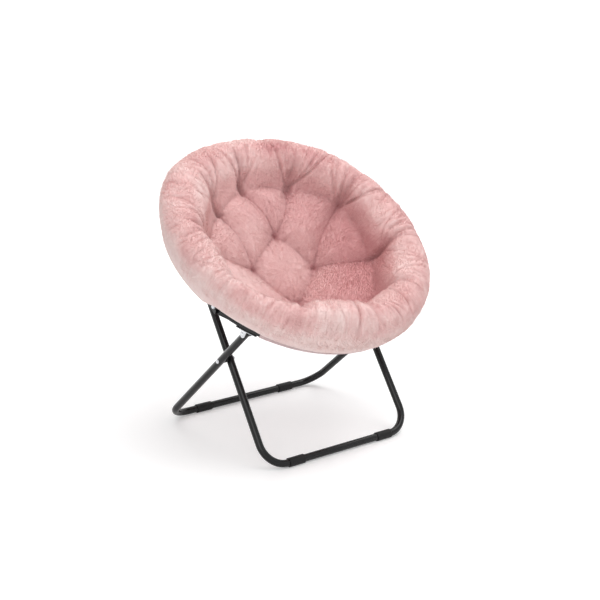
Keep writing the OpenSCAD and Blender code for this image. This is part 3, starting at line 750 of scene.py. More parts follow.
@dataclass
class Cushion:
    """The round tufted cushion: a deep bowl inside a thick roll that wraps the hoop."""

    ring_r: float = 0.357
    roll_r: float = 0.058
    bowl_depth: float = 0.135
    bowl_lean: float = 0.42
    flank_swell: float = 0.008
    flank_reach: float = 0.006
    lining_r: float = 0.0131
    bowl_stations: int = 60
    roll_stations: int = 56
    skirt_stations: int = 12
    outer_pit: tuple = (0.031, 0.050)
    inner_pit: tuple = (0.035, 0.074)
    crease_depth: float = 0.0290
    crease_width: float = 0.070
    seat_edge: tuple = (0.283, 0.318)
    roll_edge: tuple = (0.262, 0.296)
    roll_foot: tuple = (-24.0, 6.0)
    plump: float = 0.0040
    pressed: tuple = (-0.038, 213.0, 0.38, 62.0, 118.0)
    raised: tuple = (0.024, 252.0, 0.46, 40.0, 96.0)
    main_pleat: tuple = (0.0, 0.012, 0.030, 95.0)
    fan_pleats: int = 9
    fan_spread: float = 0.27
    fan_depth: tuple = (0.0025, 0.0055)
    fan_width: tuple = (0.007, 0.012)
    fan_end: tuple = (25, 95)
    wrinkles: int = 210
    wrinkle_depth: tuple = (0.0010, 0.0030)
    wrinkle_width: tuple = (0.005, 0.009)
    wrinkle_start: tuple = (10, 150)
    wrinkle_length: tuple = (25, 80)
    wrinkle_lean: float = 0.0012
    wrinkle_fade: float = 12
    outer_angles: tuple = (28.3, 62.2, 97.4, 128.8, 165.0, 201.3, 237.5, 273.7, 310.0, 346.2)
    outer_radii: tuple = (0.280, 0.260, 0.250, 0.236, 0.258, 0.263, 0.263, 0.263, 0.262, 0.2575)
    inner_angles: tuple = (77.9, 170.5, 273.0, 355.0)
    inner_radii: tuple = (0.104, 0.097, 0.101, 0.111)
    rows: int = 600
    seed: int = 11
    bowl_shares: tuple = ((0, 1), (0.34, 0.874), (0.67, 0.65), (0.876, 0.385), (0.957, 0.16), (1, 0))
    skirt: tuple = ((0.409, -0.020), (0.4075, -0.033), (0.404, -0.047), (0.3995, -0.060))
    under: tuple = (
        (0.364, -0.0392), (0.3398, -0.0587), (0.3149, -0.0724), (0.2899, -0.0906), (0.265, -0.1091),
        (0.24, -0.1287), (0.2112, -0.1486), (0.1805, -0.1666), (0.1421, -0.1841), (0.0998, -0.1966),
        (0.0461, -0.2062),
    )
    tufts: np.ndarray = field(init=False)
    creases: list = field(init=False)

    def __post_init__(self) -> None:
        """Work out the tufts and the creases that join them."""
        outer = self.circle(self.outer_angles, self.outer_radii)
        inner = self.circle(self.inner_angles, self.inner_radii)
        self.tufts = np.array(outer + inner)
        self.creases = [(p, q, 0.72, 0.10) for p, q in zip(outer, outer[1:] + outer[:1])]
        self.creases += [(p, q, 1.0, 0.05) for p, q in zip(inner, inner[1:] + inner[:1])]
        for p in inner:
            near = sorted(outer, key=lambda q: math.dist(p, q))[:2]
            self.creases += [(p, q, 1.0, 0.05 * (-1) ** k) for k, q in enumerate(near)]

    def circle(self, angles: tuple, radii: tuple) -> list[tuple[float, float]]:
        """Places of one circle of tufts."""
        return [(r * math.cos(a), r * math.sin(a)) for a, r in zip(np.radians(angles), radii)]

    def flank(self, a: float) -> float:
        """Share of the swelling either side of the back, at angle a."""
        return math.sin(2 * a) ** 2 if math.sin(a) > 0 else 0.0

    def skirt_drop(self, a: float) -> float:
        """How far the pile cloth reaches down over the hoop.

        Args:
            a: Angle round the ring.

        Returns:
            A share from 0 to 1.
        """
        from_front = abs(math.degrees(off_angle(a, math.radians(270.0))))
        front = 0.62 - 0.16 * smooth_step(math.degrees(a) % 360.0, 240.0, 300.0)
        bare = 0.54
        down = 0.94 * smooth_step(from_front, 66.0, 75.0)
        up = smooth_step(from_front, 44.5, 50.0)
        return front * (1 - up) + bare * up * (1 - down) + down

    def slim(self, a: float) -> float:
        """How closely the skirt hugs the hoop at angle a, most at the left of the front."""
        return bump_round(a, 212.0, math.radians(30.0))

    def turn(self, radius: np.ndarray, n: np.ndarray) -> np.ndarray:
        """Angle round the roll's own middle in degrees: 0 outside, 90 on top, 172 inside."""
        turn = np.degrees(np.arctan2(n, radius - self.ring_r))
        return np.where(turn < -90, turn + 360, turn)

    def profile(self, a: float) -> np.ndarray:
        """Section of the smooth form at angle a.

        Args:
            a: Angle round the ring.

        Returns:
            Radii and heights from the middle out over the roll and back underneath.
        """
        bowl_r = self.ring_r - self.roll_r
        shares = np.linspace(0.015, 0.985, self.bowl_stations)
        fine = np.linspace(0, 1, 400)
        curve = np.interp(fine, *zip(*self.bowl_shares))
        kernel = np.hanning(61) / np.hanning(61).sum()
        mirrored = np.concatenate([curve[1:31][::-1], curve, 2 * curve[-1] - curve[-31:-1][::-1]])
        curve = np.convolve(mirrored, kernel, mode="valid")[: len(fine)]
        f, slim = self.flank(a), self.slim(a)
        n_bowl = -self.bowl_depth * np.interp(shares, fine, curve)
        n_bowl = n_bowl + self.bowl_lean * shares * bowl_r * math.sin(a) * (1 - shares**2)
        turns = np.radians(np.linspace(172, -20, self.roll_stations))
        r = self.roll_r + self.flank_swell * f
        flat = np.where(turns < 0, 0.97, 1.0)
        roll_rad = self.ring_r + self.flank_reach * f + r * np.cos(turns) * flat
        roll_rad = roll_rad - 0.007 * slim * smooth_step(-turns, math.radians(-50.0), 0.0)
        steps = np.linspace(0.04, self.skirt_drop(a), self.skirt_stations)
        knots = np.linspace(0, 1, len(self.skirt))
        skirt_r, skirt_n = zip(*self.skirt)
        outer_r = np.interp(steps, knots, skirt_r) + self.flank_reach * f * (1 - steps) * 0.8
        outer_r = np.maximum(outer_r - 0.0075 * slim, np.minimum(outer_r, 0.3972))
        outer_n = np.interp(steps, knots, skirt_n)
        low = math.asin(max(-0.55, min(0.9, (outer_n[-1] + RING.hoop_drop) / self.lining_r)))
        lining = np.linspace(low, math.pi / 2, self.skirt_stations)
        inner_r = RING.hoop_r + self.lining_r * np.cos(lining)
        inner_n = self.lining_r * np.sin(lining) - RING.hoop_drop
        under_r, under_n = zip(*self.under)
        radius = np.concatenate([shares * bowl_r, roll_rad, outer_r, inner_r, under_r])
        height = np.concatenate([n_bowl, r * np.sin(turns), outer_n, inner_n, under_n])
        form = np.stack([radius, height], axis=-1)
        fixed = np.arange(len(form)) >= self.bowl_stations + self.roll_stations + 8
        for _ in range(12):
            smooth = form.copy()
            smooth[1:-1] = (form[:-2] + 2 * form[1:-1] + form[2:]) / 4
            form = np.where(fixed[:, None], form, smooth)
        return form

    def dents(self, x: np.ndarray, u: np.ndarray) -> np.ndarray:
        """How deep the tufts' own pits are.

        Args:
            x: Distances across the chair.
            u: Distances up the ring plane.

        Returns:
            Depths, in metres.
        """
        dent = np.zeros(len(x))
        for j, (tx, tu) in enumerate(self.tufts):
            depth, width = self.outer_pit if j < len(self.outer_angles) else self.inner_pit
            dent = np.maximum(dent, depth * valley(np.hypot(x - tx, u - tu), width))
        return dent

    def grooves(self, x: np.ndarray, u: np.ndarray) -> np.ndarray:
        """How deep the bowed creases between the tufts are.

        Args:
            x: Distances across the chair.
            u: Distances up the ring plane.

        Returns:
            Depths, in metres.
        """
        groove = np.zeros(len(x))
        for (x0, u0), (x1, u1), share, bow in self.creases:
            dx, du = x1 - x0, u1 - u0
            length = math.hypot(dx, du)
            t = np.clip(((x - x0) * dx + (u - u0) * du) / length**2, 0, 1)
            arc = bow * length * 4 * t * (1 - t)
            side = ((x - x0) * -du + (u - u0) * dx) / length
            beyond = np.hypot(x - x0 - t * dx, u - u0 - t * du) * ((t <= 0) | (t >= 1))
            d = np.hypot(side - arc * (-1 if x0 * u1 - x1 * u0 > 0 else 1), beyond)
            mid = 1 - 0.35 * np.sin(t * math.pi)
            groove = np.maximum(groove, self.crease_depth * share * mid * valley(d, self.crease_width))
        return groove

    def fans(
        self, ring: tuple, upper: np.ndarray, rng: np.random.Generator
    ) -> tuple[np.ndarray, np.ndarray]:
        """Pleats that spread over the roll from each outer tuft.

        Args:
            ring: Angle round the ring, radius and turn round the roll of each point.
            upper: 1 where a point may be pleated, or else 0.
            rng: The cushion's random numbers.

        Returns:
            How deep the pleats cut, and a mask of folds.
        """
        a, radius, turn = ring
        depths, fold = np.zeros(len(a)), np.zeros(len(a))
        away = np.clip((192.0 - turn) / 95.0, 0.0, 1.5)
        for tuft, tuft_r in zip(np.radians(self.outer_angles), self.outer_radii):
            pleated = smooth_step(radius, tuft_r - 0.014, tuft_r + 0.016)
            pleated = pleated * smooth_step(turn, *self.roll_foot) * upper
            fan = [self.main_pleat]
            for _ in range(self.fan_pleats):
                offset = rng.uniform(-self.fan_spread, self.fan_spread)
                spans = (self.fan_depth, self.fan_width, self.fan_end)
                fan.append((offset, *(rng.uniform(*span) for span in spans)))
            for offset, depth, width, end in fan:
                spread = offset * (0.12 + 0.88 * np.sqrt(away))
                along = smooth_step(turn, end - 40.0, end + 40.0)
                off = off_angle(a - tuft, spread)
                cut = valley(np.abs(off) * radius, width) * along * pleated
                depths += depth * cut
                # Painted shade: the pleats' folds are marked to darken the pile.
                fold = np.maximum(fold, cut * min(1.0, depth / 0.008) * 0.42)
        return depths, fold

    def scattered(
        self, ring: tuple, roll: np.ndarray, rng: np.random.Generator
    ) -> tuple[np.ndarray, np.ndarray]:
        """Short wrinkles scattered over the roll.

        Args:
            ring: Angle round the ring, radius and turn round the roll of each point.
            roll: 1 on the roll, falling to 0 beside it.
            rng: The cushion's random numbers.

        Returns:
            How deep the wrinkles cut, and a mask of folds.
        """
        a, radius, turn = ring
        depths, fold = np.zeros(len(a)), np.zeros(len(a))
        along_roll = smooth_step(turn, -10.0, 40.0)
        fade = self.wrinkle_fade
        deepest = self.wrinkle_depth[1]
        for _ in range(self.wrinkles):
            at, depth = rng.uniform(0, 2 * math.pi), rng.uniform(*self.wrinkle_depth)
            width, start = rng.uniform(*self.wrinkle_width), rng.uniform(*self.wrinkle_start)
            length = rng.uniform(*self.wrinkle_length)
            lean = rng.uniform(-self.wrinkle_lean, self.wrinkle_lean)
            off = off_angle(a - at, lean * (turn - start))
            first, last = start - length / 2, start + length / 2
            along = plateau(turn, first - fade, first + fade, last - fade, last + fade)
            cut = np.exp(-((off * radius / width) ** 2)) * along * roll * along_roll
            depths += depth * cut
            # Painted shade: the wrinkles are marked to darken the pile.
            fold = np.maximum(fold, cut * depth / deepest * 0.22)
        return depths, fold

    def relief(self, local: np.ndarray) -> tuple[np.ndarray, np.ndarray, np.ndarray]:
        """Depth of tufts, creases, pleats and folds over the smooth form.

        Args:
            local: Points in the ring plane, as rows of x, u and n.

        Returns:
            How far each point moves along its normal, a mask of folds, and how firmly
            the tufts, the creases and the underside hold each point.
        """
        rng = np.random.default_rng(self.seed)
        x, u, n = local.T
        radius, a = np.hypot(x, u), np.arctan2(u, x)
        turn = self.turn(radius, n)
        ring = (a, radius, turn)
        over = n > under_height(radius) + 0.010
        outer_face = 1 - (n < -0.045) * (radius < 0.396)
        seat = (1.0 - smooth_step(radius, *self.seat_edge)) * over
        roll = smooth_step(radius, *self.roll_edge) * smooth_step(turn, *self.roll_foot) * outer_face
        dent, groove = self.dents(x, u), self.grooves(x, u)
        room = np.maximum(n - under_height(radius) - 0.012, 0.0)
        move = -np.minimum(np.maximum(dent, groove), room) * seat + self.plump * seat
        inner = (1 - smooth_step(turn, 170.0, 195.0)) * roll
        move += 0.012 * np.exp(-(((x + 0.205) / 0.085) ** 2) - ((u + 0.075) / 0.095) ** 2) * seat
        for height, middle, width, low, full in (self.pressed, self.raised):
            move += height * bump_round(a, middle, width) * smooth_step(turn, low, full) * inner
        # Painted shade: the fold mask darkens the plush in the tufts' pits and along the creases.
        creased = 0.22 * smooth_step(groove, 0.004, 0.018) + 0.45 * smooth_step(groove, 0.014, 0.027)
        fold = np.maximum(smooth_step(dent, 0.017, 0.031), creased) * seat
        for depths, folds in (
            self.fans(ring, np.where(radius < 0.29, over, outer_face), rng),
            self.scattered(ring, roll, rng),
        ):
            move -= depths
            fold = np.maximum(fold, folds)
        upper = np.maximum(seat, roll)
        sewn = np.maximum(smooth_step(dent, 0.008, 0.024), 0.30 * smooth_step(groove, 0.006, 0.018))
        held = np.maximum(1.0 - upper, sewn * seat)
        return move + clouds(local, (13.0, 0.0040), (31.0, 0.0010)) * upper, fold, held

    def shade(self, local: np.ndarray) -> np.ndarray:
        """How deep the pile's colour is, as painted light and shade with patches of tone: 0 on the lit,
        painted-pale flank and rims, 1 in the painted shade of the bowl's bottom.

        Args:
            local: Points in the ring plane, as rows of x, u and n.

        Returns:
            A value for each point.
        """
        x, u, n = local.T
        radius, a = np.hypot(x, u), np.arctan2(u, x)
        turn = self.turn(radius, n)
        patches = clouds(local, (9.0, 1.0), (27.0, 0.6))
        # Painted light: the roll's lower outer flank and its inner top edge are paler.
        flank = 1.0 - smooth_step(turn, -8.0, 36.0)
        lit_rim = plateau(turn, 92.0, 126.0, 160.0, 178.0)
        band = plateau(turn, 22.0, 48.0, 78.0, 108.0) * bump_round(a, 243.0, 0.75)
        back = plateau(turn, 70.0, 100.0, 120.0, 165.0) * bump_round(a, 62.0, 0.55)
        # Painted light: the top edge of the roll at the back is paler.
        lit_back_edge = bump_round(a, 90.0, 1.0) * (1.0 - smooth_step(turn, 50.0, 84.0))
        roll = 0.44 + (0.24 + 0.16 * band + 0.16 * back) * patches
        roll += -0.40 * flank - 0.16 * lit_rim - 0.08 * band + 0.24 * back - 0.26 * lit_back_edge
        # Painted shade: the roll is darker at the back right.
        roll += 0.12 * bump_round(a, 25.0, 0.9)
        # Painted shade on the right of the bowl, and painted light on its lobe at the near left.
        shaded_right_side = 0.5 + 0.5 * np.cos(a + math.radians(20.0))
        lit_left_lobe = np.exp(-(((x + 0.19) / 0.09) ** 2) - ((u + 0.06) / 0.11) ** 2)
        # Painted shade: the bowl is darker than the roll and darker further down, with patches of tone.
        bowl = 0.45 + 0.08 * smooth_step(-n, -0.005, 0.085) + 0.12 * patches
        bowl += 0.52 * shaded_right_side * smooth_step(radius, 0.06, 0.22) - 0.30 * lit_left_lobe
        on_roll = smooth_step(radius, 0.272, 0.312)
        return np.clip(roll * on_roll + bowl * (1.0 - on_roll), 0.0, 1.0)

    def build(self, finish: bpy.types.Material) -> bpy.types.Object:
        """Make the cushion.

        Args:
            finish: The plush material.

        Returns:
            The finished cushion.
        """
        angles = np.linspace(0, 2 * math.pi, self.rows, endpoint=False)
        section = np.array([self.profile(a) for a in angles])
        a = angles[:, None]
        radius, height = section[..., 0], section[..., 1]
        local = np.stack([radius * np.cos(a), radius * np.sin(a), height], axis=-1)
        poles = [Vector((0, 0, n)) for n in (-self.bowl_depth, self.under[-1][1] - 0.002)]
        cushion = grid_mesh("plush_cushion", local, True, *poles)
        face_outward(cushion)
        points = read_rows(cushion.data.vertices, "co")
        normals = read_rows(cushion.data.vertex_normals, "vector")
        move, fold, held = self.relief(points)
        shade = self.shade(points)
        points = points + normals * move[:, None]
        grid = points[:-2].reshape(*section.shape[:2], 3)
        blown = Stuffing().blow(grid, held[:-2].reshape(section.shape[:2]))
        points[:-2] += blown.reshape(-1, 3)
        points[-2] += blown[:, 0].mean(axis=0)
        x, u, n = points.T
        cushion.data.vertices.foreach_set("co", RING.to_world(x, u, n).ravel())
        cushion.data.update()
        steps = np.diff(section, axis=1, prepend=section[:, :1])
        arc = np.cumsum(np.hypot(*steps.transpose(2, 0, 1)), axis=1)
        arc = np.append(arc.ravel(), (0.0, arc[:, -1].mean()))
        around = np.arctan2(u, x)
        store(cushion, "lay", np.stack([0.4 * np.cos(around), 0.4 * np.sin(around), arc], axis=-1))
        # The fold and shade attributes carry the plush's painted shade and painted light.
        store(cushion, "fold", np.clip(fold, 0, 1))
        store(cushion, "shade", shade)
        radius = np.hypot(x, u)
        top = (n > under_height(radius) + 0.012) | (radius > 0.399)
        skirt = 1.0 - 0.55 * smooth_step(-n, 0.012, 0.040) * (radius > 0.36)
        store(cushion, "pile", top * skirt)
        dress(cushion, finish)
        return cushion


def under_height(radius: np.ndarray) -> np.ndarray:
    """Height of the cushion's underside at a radius."""
    table = sorted(Cushion.under)
    return np.interp(radius, [p[0] for p in table], [p[1] for p in table])


# ---------------------------------------------------------------- pile


@dataclass
class Pile:
    """The short pile that stands on the cushion's face, combed and clumped."""

    length: float = 0.0052
    width: float = 0.0009
    count: int = 256000
    comb: float = 1.1
    seed: int = 5
    parts: int = 4

    def blade(self) -> bpy.types.Object:
        """Make one tuft of hairs as a bent, tapered strip of unit length.

        Returns:
            The strip.
        """
        w, mid = 0.5, 0.42
        verts = [(-w, 0, 0), (w, 0, 0), (mid, 0.16, 0.55), (-mid, 0.16, 0.55), (0, 0.55, 1.0)]
        return new_object("hair", verts, [], [(0, 1, 2, 3), (3, 2, 4)])

    def tree(self, blade: bpy.types.Object, finish: bpy.types.Material) -> bpy.types.NodeTree:
        """Build the tree that plants the pile.

        Args:
            blade: The strip to plant.
            finish: The plush material.

        Returns:
            The tree, with density, length, width, comb and seed as named inputs.
        """
        inputs = {"Geometry": None, "Density": 0.0, "Length": 0.0, "Width": 0.0, "Comb": 0.0, "Seed": 0}
        g, inn, out = new_tree("pile_planting", "GeometryNodeTree", inputs, ("Geometry",))

        def chance(low: float, high: float, seed: int) -> bpy.types.NodeSocket:
            """Add a Random Value node and return its number."""
            inputs = {2: low, 3: high, "Seed": seed}
            return g.add("FunctionNodeRandomValue", inputs, data_type="FLOAT").outputs[1]

        named = g.add("GeometryNodeInputNamedAttribute", {"Name": "pile"}, data_type="FLOAT")
        pile = named.outputs["Attribute"]
        spread = g.add("GeometryNodeDistributePointsOnFaces", {
            "Mesh": inn.outputs["Geometry"],
            "Density": g.math("MULTIPLY", inn.outputs["Density"], pile),
            "Seed": inn.outputs["Seed"],
        }, distribute_method="RANDOM")
        normal = spread.outputs["Normal"]
        place = g.add("GeometryNodeInputPosition").outputs[0]
        middle = (0.5, 0.5, 0.5)
        clump = g.vector("SUBTRACT", g.noise(place, 55.0, out="Color"), middle)
        drift = g.vector("SUBTRACT", g.noise(place, 7.0, 1.0, out="Color"), middle)
        clump = g.vector("MULTIPLY", clump, (0.45, 0.45, 0.45))
        drift = g.vector("MULTIPLY", drift, (1.1, 1.1, 1.1))
        lean = g.vector("ADD", g.vector("ADD", clump, drift), (0.05, -0.30, -0.55))
        lean = g.vector("SUBTRACT", lean, g.vector("PROJECT", lean, normal))
        combed = g.add("ShaderNodeVectorMath", {0: lean, "Scale": inn.outputs["Comb"]}, operation="SCALE")
        aim = g.vector("ADD", normal, combed.outputs[0])
        rise = g.add("FunctionNodeAlignRotationToVector", {"Vector": aim}, axis="Z").outputs[0]
        facing = {"Rotation": rise, "Vector": normal}
        turn = g.add("FunctionNodeAlignRotationToVector", facing, axis="Y", pivot_axis="Z")
        tall = g.math("MULTIPLY", inn.outputs["Length"], chance(0.6, 1.15, 3))
        tall = g.math("MULTIPLY", tall, pile)
        wide = g.math("MULTIPLY", inn.outputs["Width"], chance(0.6, 1.3, 4))
        plant = g.add("GeometryNodeInstanceOnPoints", {
            "Points": spread.outputs["Points"],
            "Instance": g.add("GeometryNodeObjectInfo", {"Object": blade}).outputs["Geometry"],
            "Rotation": turn.outputs[0],
            "Scale": g.add("ShaderNodeCombineXYZ", {0: wide, 1: tall, 2: tall}).outputs[0],
        })
        tone = {"Geometry": plant.outputs[0], "Name": "tone", "Value": chance(0.0, 1.0, 9)}
        keep = g.add("GeometryNodeStoreNamedAttribute", tone, data_type="FLOAT", domain="INSTANCE")
        real = g.add("GeometryNodeRealizeInstances", {0: keep.outputs[0]})
        done = g.add("GeometryNodeSetMaterial", {"Geometry": real.outputs[0], "Material": finish})
        g.plug(out, {0: done.outputs[0]})
        return g.tree

    def build(self, cushion: bpy.types.Object, finish: bpy.types.Material) -> list[bpy.types.Object]:
        """Plant the pile on the cushion and bake it.

        Args:
            cushion: The finished cushion.
            finish: The plush material.

        Returns:
            The pieces of pile.
        """
        blade = self.blade()
        tree = self.tree(blade, finish)
        area = sum(p.area for p in cushion.data.polygons)
        values = {"Density": self.count / self.parts / area, "Length": self.length}
        values |= {"Width": self.width, "Comb": self.comb}
        pieces = []
        for k in range(self.parts):
            host = bpy.data.objects.new(f"plush_pile_{k + 1}", cushion.data.copy())
            bpy.context.scene.collection.objects.link(host)
            grow(host, tree, {**values, "Seed": self.seed + k})
            pieces.append(host)
        bpy.data.objects.remove(blade)
        return pieces


# ---------------------------------------------------------------- sling


@dataclass
class Sling:
    """The cloth bowl under the cushion and its hem round the hoop."""

    cloth: float = 0.0014
    gores: int = 8
    first_gore: float = 22.5
    seam_depth: float = 0.0013
    gather_depth: float = 0.0011
    hem_inner: float = 0.0104
    hem_seams: tuple = (207.0, 231.0)
    proud: float = 0.0001
    notch_r: float = 0.342
    hems: tuple = (
        ("sling_hem_front", -136.6, -43.4), ("sling_hem_right", -12.2, 43.1),
        ("sling_hem_back", 53.9, 126.1), ("sling_hem_left", 136.9, 192.2),
    )
    profile: tuple = (
        (0.0, -0.158), (0.0461, -0.1556), (0.0998, -0.146), (0.1421, -0.1335), (0.1805, -0.116),
        (0.2112, -0.098), (0.24, -0.078), (0.265, -0.0585), (0.2899, -0.04), (0.3149, -0.0218),
        (0.3398, -0.0081), (0.3726, 0.0026),
    )

    def drape(self, radius: np.ndarray, a: np.ndarray) -> np.ndarray:
        """How far the seams and the gathers under the hoop stand below the smooth bowl.

        Args:
            radius: Distances from the bowl's middle.
            a: Angles round the bowl.

        Returns:
            Depths, in metres.
        """
        step = 2 * math.pi / self.gores
        off = (a - math.radians(self.first_gore) + step / 2) % step - step / 2
        seam = np.exp(-((off * radius / 0.0040) ** 2)) * smooth_step(radius, 0.04, 0.07)
        gather = plateau(radius, 0.28, 0.345, 0.362, 0.371)
        ripple = 0.5 + 0.5 * np.sin(64.0 * a + 2.5 * np.sin(9.0 * a))
        return self.seam_depth * seam + self.gather_depth * gather * ripple

    def gore_rows(self) -> list[np.ndarray]:
        """Lay out two lines either side of each seam, on the underside of the bowl.

        Returns:
            Places to sew along, line by line.
        """
        radius = np.linspace(0.075, 0.335, 60)
        below = RING.hoop_drop + self.cloth / 2 + self.proud
        rows = []
        for k in range(self.gores):
            for side in (-0.0033, 0.0033):
                a = math.radians(self.first_gore) + k * 2 * math.pi / self.gores + side / radius
                n = np.interp(radius, *zip(*self.profile)) - self.drape(radius, a) - below
                rows.append(RING.around(radius, a, n))
        return rows

    def hem_radius(self, a: float, t: float) -> float:
        """Radius of the hem's outside round the tube, with its puckers."""
        return 0.0119 + noise.noise(Vector((math.cos(a) * 26.0, math.sin(a) * 26.0, t * 0.9))) * 0.0009

    def hem_rows(self, a0: float, a1: float) -> list[np.ndarray]:
        """Lay out two lines along a hem, where the sleeve is sewn shut under the bowl.

        Args:
            a0: First angle of the hem in degrees.
            a1: Last angle in degrees.

        Returns:
            Places to sew along, line by line.
        """
        angles = np.radians(np.arange(a0 + 1.0, a1 - 1.0, 1.0))
        return [
            np.array([RING.on_hoop(a, t, self.hem_radius(a, t) + self.proud) for a in angles])
            for t in np.radians(self.hem_seams)
        ]

    def build(self, finish: bpy.types.Material) -> list[bpy.types.Object]:
        """Make the bowl and the hems.

        Args:
            finish: The backing cloth.

        Returns:
            The bowl first, then the front hem and the back hems.
        """
        rows = 640
        angles = np.linspace(0, 2 * math.pi, rows, endpoint=False)
        r_in, n_in = zip(*self.profile)
        s = np.linspace(0.02, 1, 48) * r_in[-1]
        a = np.repeat(angles[:, None], len(s), axis=1)
        radius = np.repeat(s[None, :], rows, axis=0)
        height = np.interp(s, r_in, n_in) + 0.0003 - self.drape(radius, a)
        across, along = radius * np.abs(np.cos(a)), radius * np.sin(a)
        beside = (along > RING.hinge_u - 0.048) & (along < RING.hinge_u + 0.052)
        short = np.minimum(radius, self.notch_r / np.maximum(np.abs(np.cos(a)), 0.3))
        radius = np.where((across > self.notch_r) & beside, short, radius)
        grid = RING.around(radius, a, height - RING.hoop_drop)
        bowl = grid_mesh("sling_bowl", grid, True, RING.point(0, 0, n_in[0] - RING.hoop_drop), None)
        face_outward(bowl)
        # Darker along the seams, their dark joints, and painted shade in the gathered folds under the hoop,
        # both from how deep the drape pulls the cloth in.
        seam_and_gather_shade = np.append((self.drape(radius, a) / self.seam_depth).ravel(), 0.0)
        store(bowl, "seam", np.clip(seam_and_gather_shade, 0, 1))
        unwrap(bowl, lambda co: (co.x, co.y / math.cos(RING.tilt)))
        solid = bowl.modifiers.new("cloth", "SOLIDIFY")
        solid.thickness = self.cloth
        solid.offset = 0.0
        dress(bowl, finish)
        return [bowl, *(self.hem(name, a0, a1, finish) for name, a0, a1 in self.hems)]

    def hem(self, name: str, a0: float, a1: float, finish: bpy.types.Material) -> bpy.types.Object:
        """Make one length of hem round the hoop tube.

        Args:
            name: Name of the piece.
            a0: First angle in degrees from +X.
            a1: Last angle in degrees.
            finish: The backing cloth.

        Returns:
            The hem.
        """
        turns = np.linspace(0, 2 * math.pi, 33)
        rings = []
        for a in np.radians(np.linspace(a0, a1, max(24, int((a1 - a0) * 3)))):
            outside = [RING.on_hoop(a, t, self.hem_radius(a, t)) for t in turns]
            inside = [RING.on_hoop(a, t, self.hem_inner) for t in turns[::-1]]
            rings.append(outside + inside + outside[:1])
        obj = grid_mesh(name, np.array(rings), False, None, None)
        face_outward(obj, seal=True)
        unwrap(obj, lambda co: (co.x, co.y + co.z))
        dress(obj, finish)
        return obj


# ---------------------------------------------------------------- stitches


@dataclass
class Stitching:
    """Rows of machine stitches along given lines."""

    pitch: float = 0.0062
    length: float = 0.0044
    thick: float = 0.0009

    def stitch(self) -> bpy.types.Object:
        """Make one stitch of unit length: a six-sided thread that tapers at both ends.

        Returns:
            The stitch.
        """
        sides, step = 6, math.pi / 3
        rings = ((-0.5, 0.25), (-0.32, 0.5), (0.32, 0.5), (0.5, 0.25))
        verts = [(x, r * math.cos(k * step), r * math.sin(k * step)) for x, r in rings for k in range(sides)]
        faces = [
            (i + k, i + sides + k, i + sides + (k + 1) % sides, i + (k + 1) % sides)
            for i in range(0, 3 * sides, sides)
            for k in range(sides)
        ]
        faces += [tuple(range(sides)), tuple(range(4 * sides - 1, 3 * sides - 1, -1))]
        obj = new_object("stitch", verts, [], faces)
        face_outward(obj)
        return obj

    def tree(self, stitch: bpy.types.Object, finish: bpy.types.Material) -> bpy.types.NodeTree:
        """Build the tree that sews stitches along the edges of a mesh.

        Args:
            stitch: The stitch to repeat.
            finish: The thread's material.

        Returns:
            The tree, with pitch, length and thickness as named inputs.
        """
        inputs = {"Geometry": None, "Pitch": 0.0, "Length": 0.0, "Thickness": 0.0}
        g, inn, out = new_tree("stitch_row", "GeometryNodeTree", inputs, ("Geometry",))
        curve = g.add("GeometryNodeMeshToCurve", {0: inn.outputs["Geometry"]})
        line = {"Curve": curve.outputs[0], "Length": inn.outputs["Pitch"]}
        even = g.add("GeometryNodeResampleCurve", line, mode="LENGTH")
        tangent = g.add("GeometryNodeInputTangent").outputs[0]
        turn = g.add("FunctionNodeAlignRotationToVector", {"Vector": tangent}, axis="X")
        long, thick = inn.outputs["Length"], inn.outputs["Thickness"]
        sewn = g.add("GeometryNodeInstanceOnPoints", {
            "Points": even.outputs[0],
            "Instance": g.add("GeometryNodeObjectInfo", {"Object": stitch}).outputs["Geometry"],
            "Rotation": turn.outputs[0],
            "Scale": g.add("ShaderNodeCombineXYZ", {0: long, 1: thick, 2: thick}).outputs[0],
        })
        real = g.add("GeometryNodeRealizeInstances", {0: sewn.outputs[0]})
        done = g.add("GeometryNodeSetMaterial", {"Geometry": real.outputs[0], "Material": finish})
        g.plug(out, {0: done.outputs[0]})
        return g.tree

    def sew(self, name: str, rows: list[np.ndarray], finish: bpy.types.Material) -> bpy.types.Object:
        """Sew one piece of stitching and bake it.

        Args:
            name: Name of the piece.
            rows: Lines of places to sew along.
            finish: The thread's material.

        Returns:
            The stitches as one mesh.
        """
        stitch = self.stitch()
        verts, edges = [], []
        for row in rows:
            start = len(verts)
            verts += [tuple(p) for p in row]
            edges += [(start + k, start + k + 1) for k in range(len(row) - 1)]
        host = new_object(name, verts, edges, [])
        values = {"Pitch": self.pitch, "Length": self.length, "Thickness": self.thick}
        grow(host, self.tree(stitch, finish), values)
        bpy.data.objects.remove(stitch)
        return host


# ---------------------------------------------------------------- frame


@dataclass
class TubeFrame:
    """The rigid CAD pieces, which keep their shapes and take their finishes here."""

    painted: tuple = (
        "front_leg", "rear_leg", "front_hoop", "back_hoop", "hinge_channel_left", "hinge_channel_right",
    )
    plastic: tuple = (
        "front_foot_left", "front_foot_right", "rear_foot_left", "rear_foot_right",
        "front_leg_plug_left", "front_leg_plug_right", "rear_leg_plug_left", "rear_leg_plug_right",
        "cross_spacer_left", "cross_spacer_right",
    )

    def dress(
        self, paint: bpy.types.Material, plastic: bpy.types.Material, zinc: bpy.types.Material
    ) -> None:
        """Give every rigid node its finish.

        Args:
            paint: Finish of the tubes and the channels.
            plastic: Finish of the sleeves, plugs and bushes.
            zinc: Finish of the brackets and rivets.
        """
        for name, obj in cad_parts.items():
            if name.startswith(("cushion", "sling")):
                continue
            finish = paint if name in self.painted else plastic if name in self.plastic else zinc
            dress(obj, finish)
            log.info("node %s takes %s", name, finish.name)


# ---------------------------------------------------------------- studio


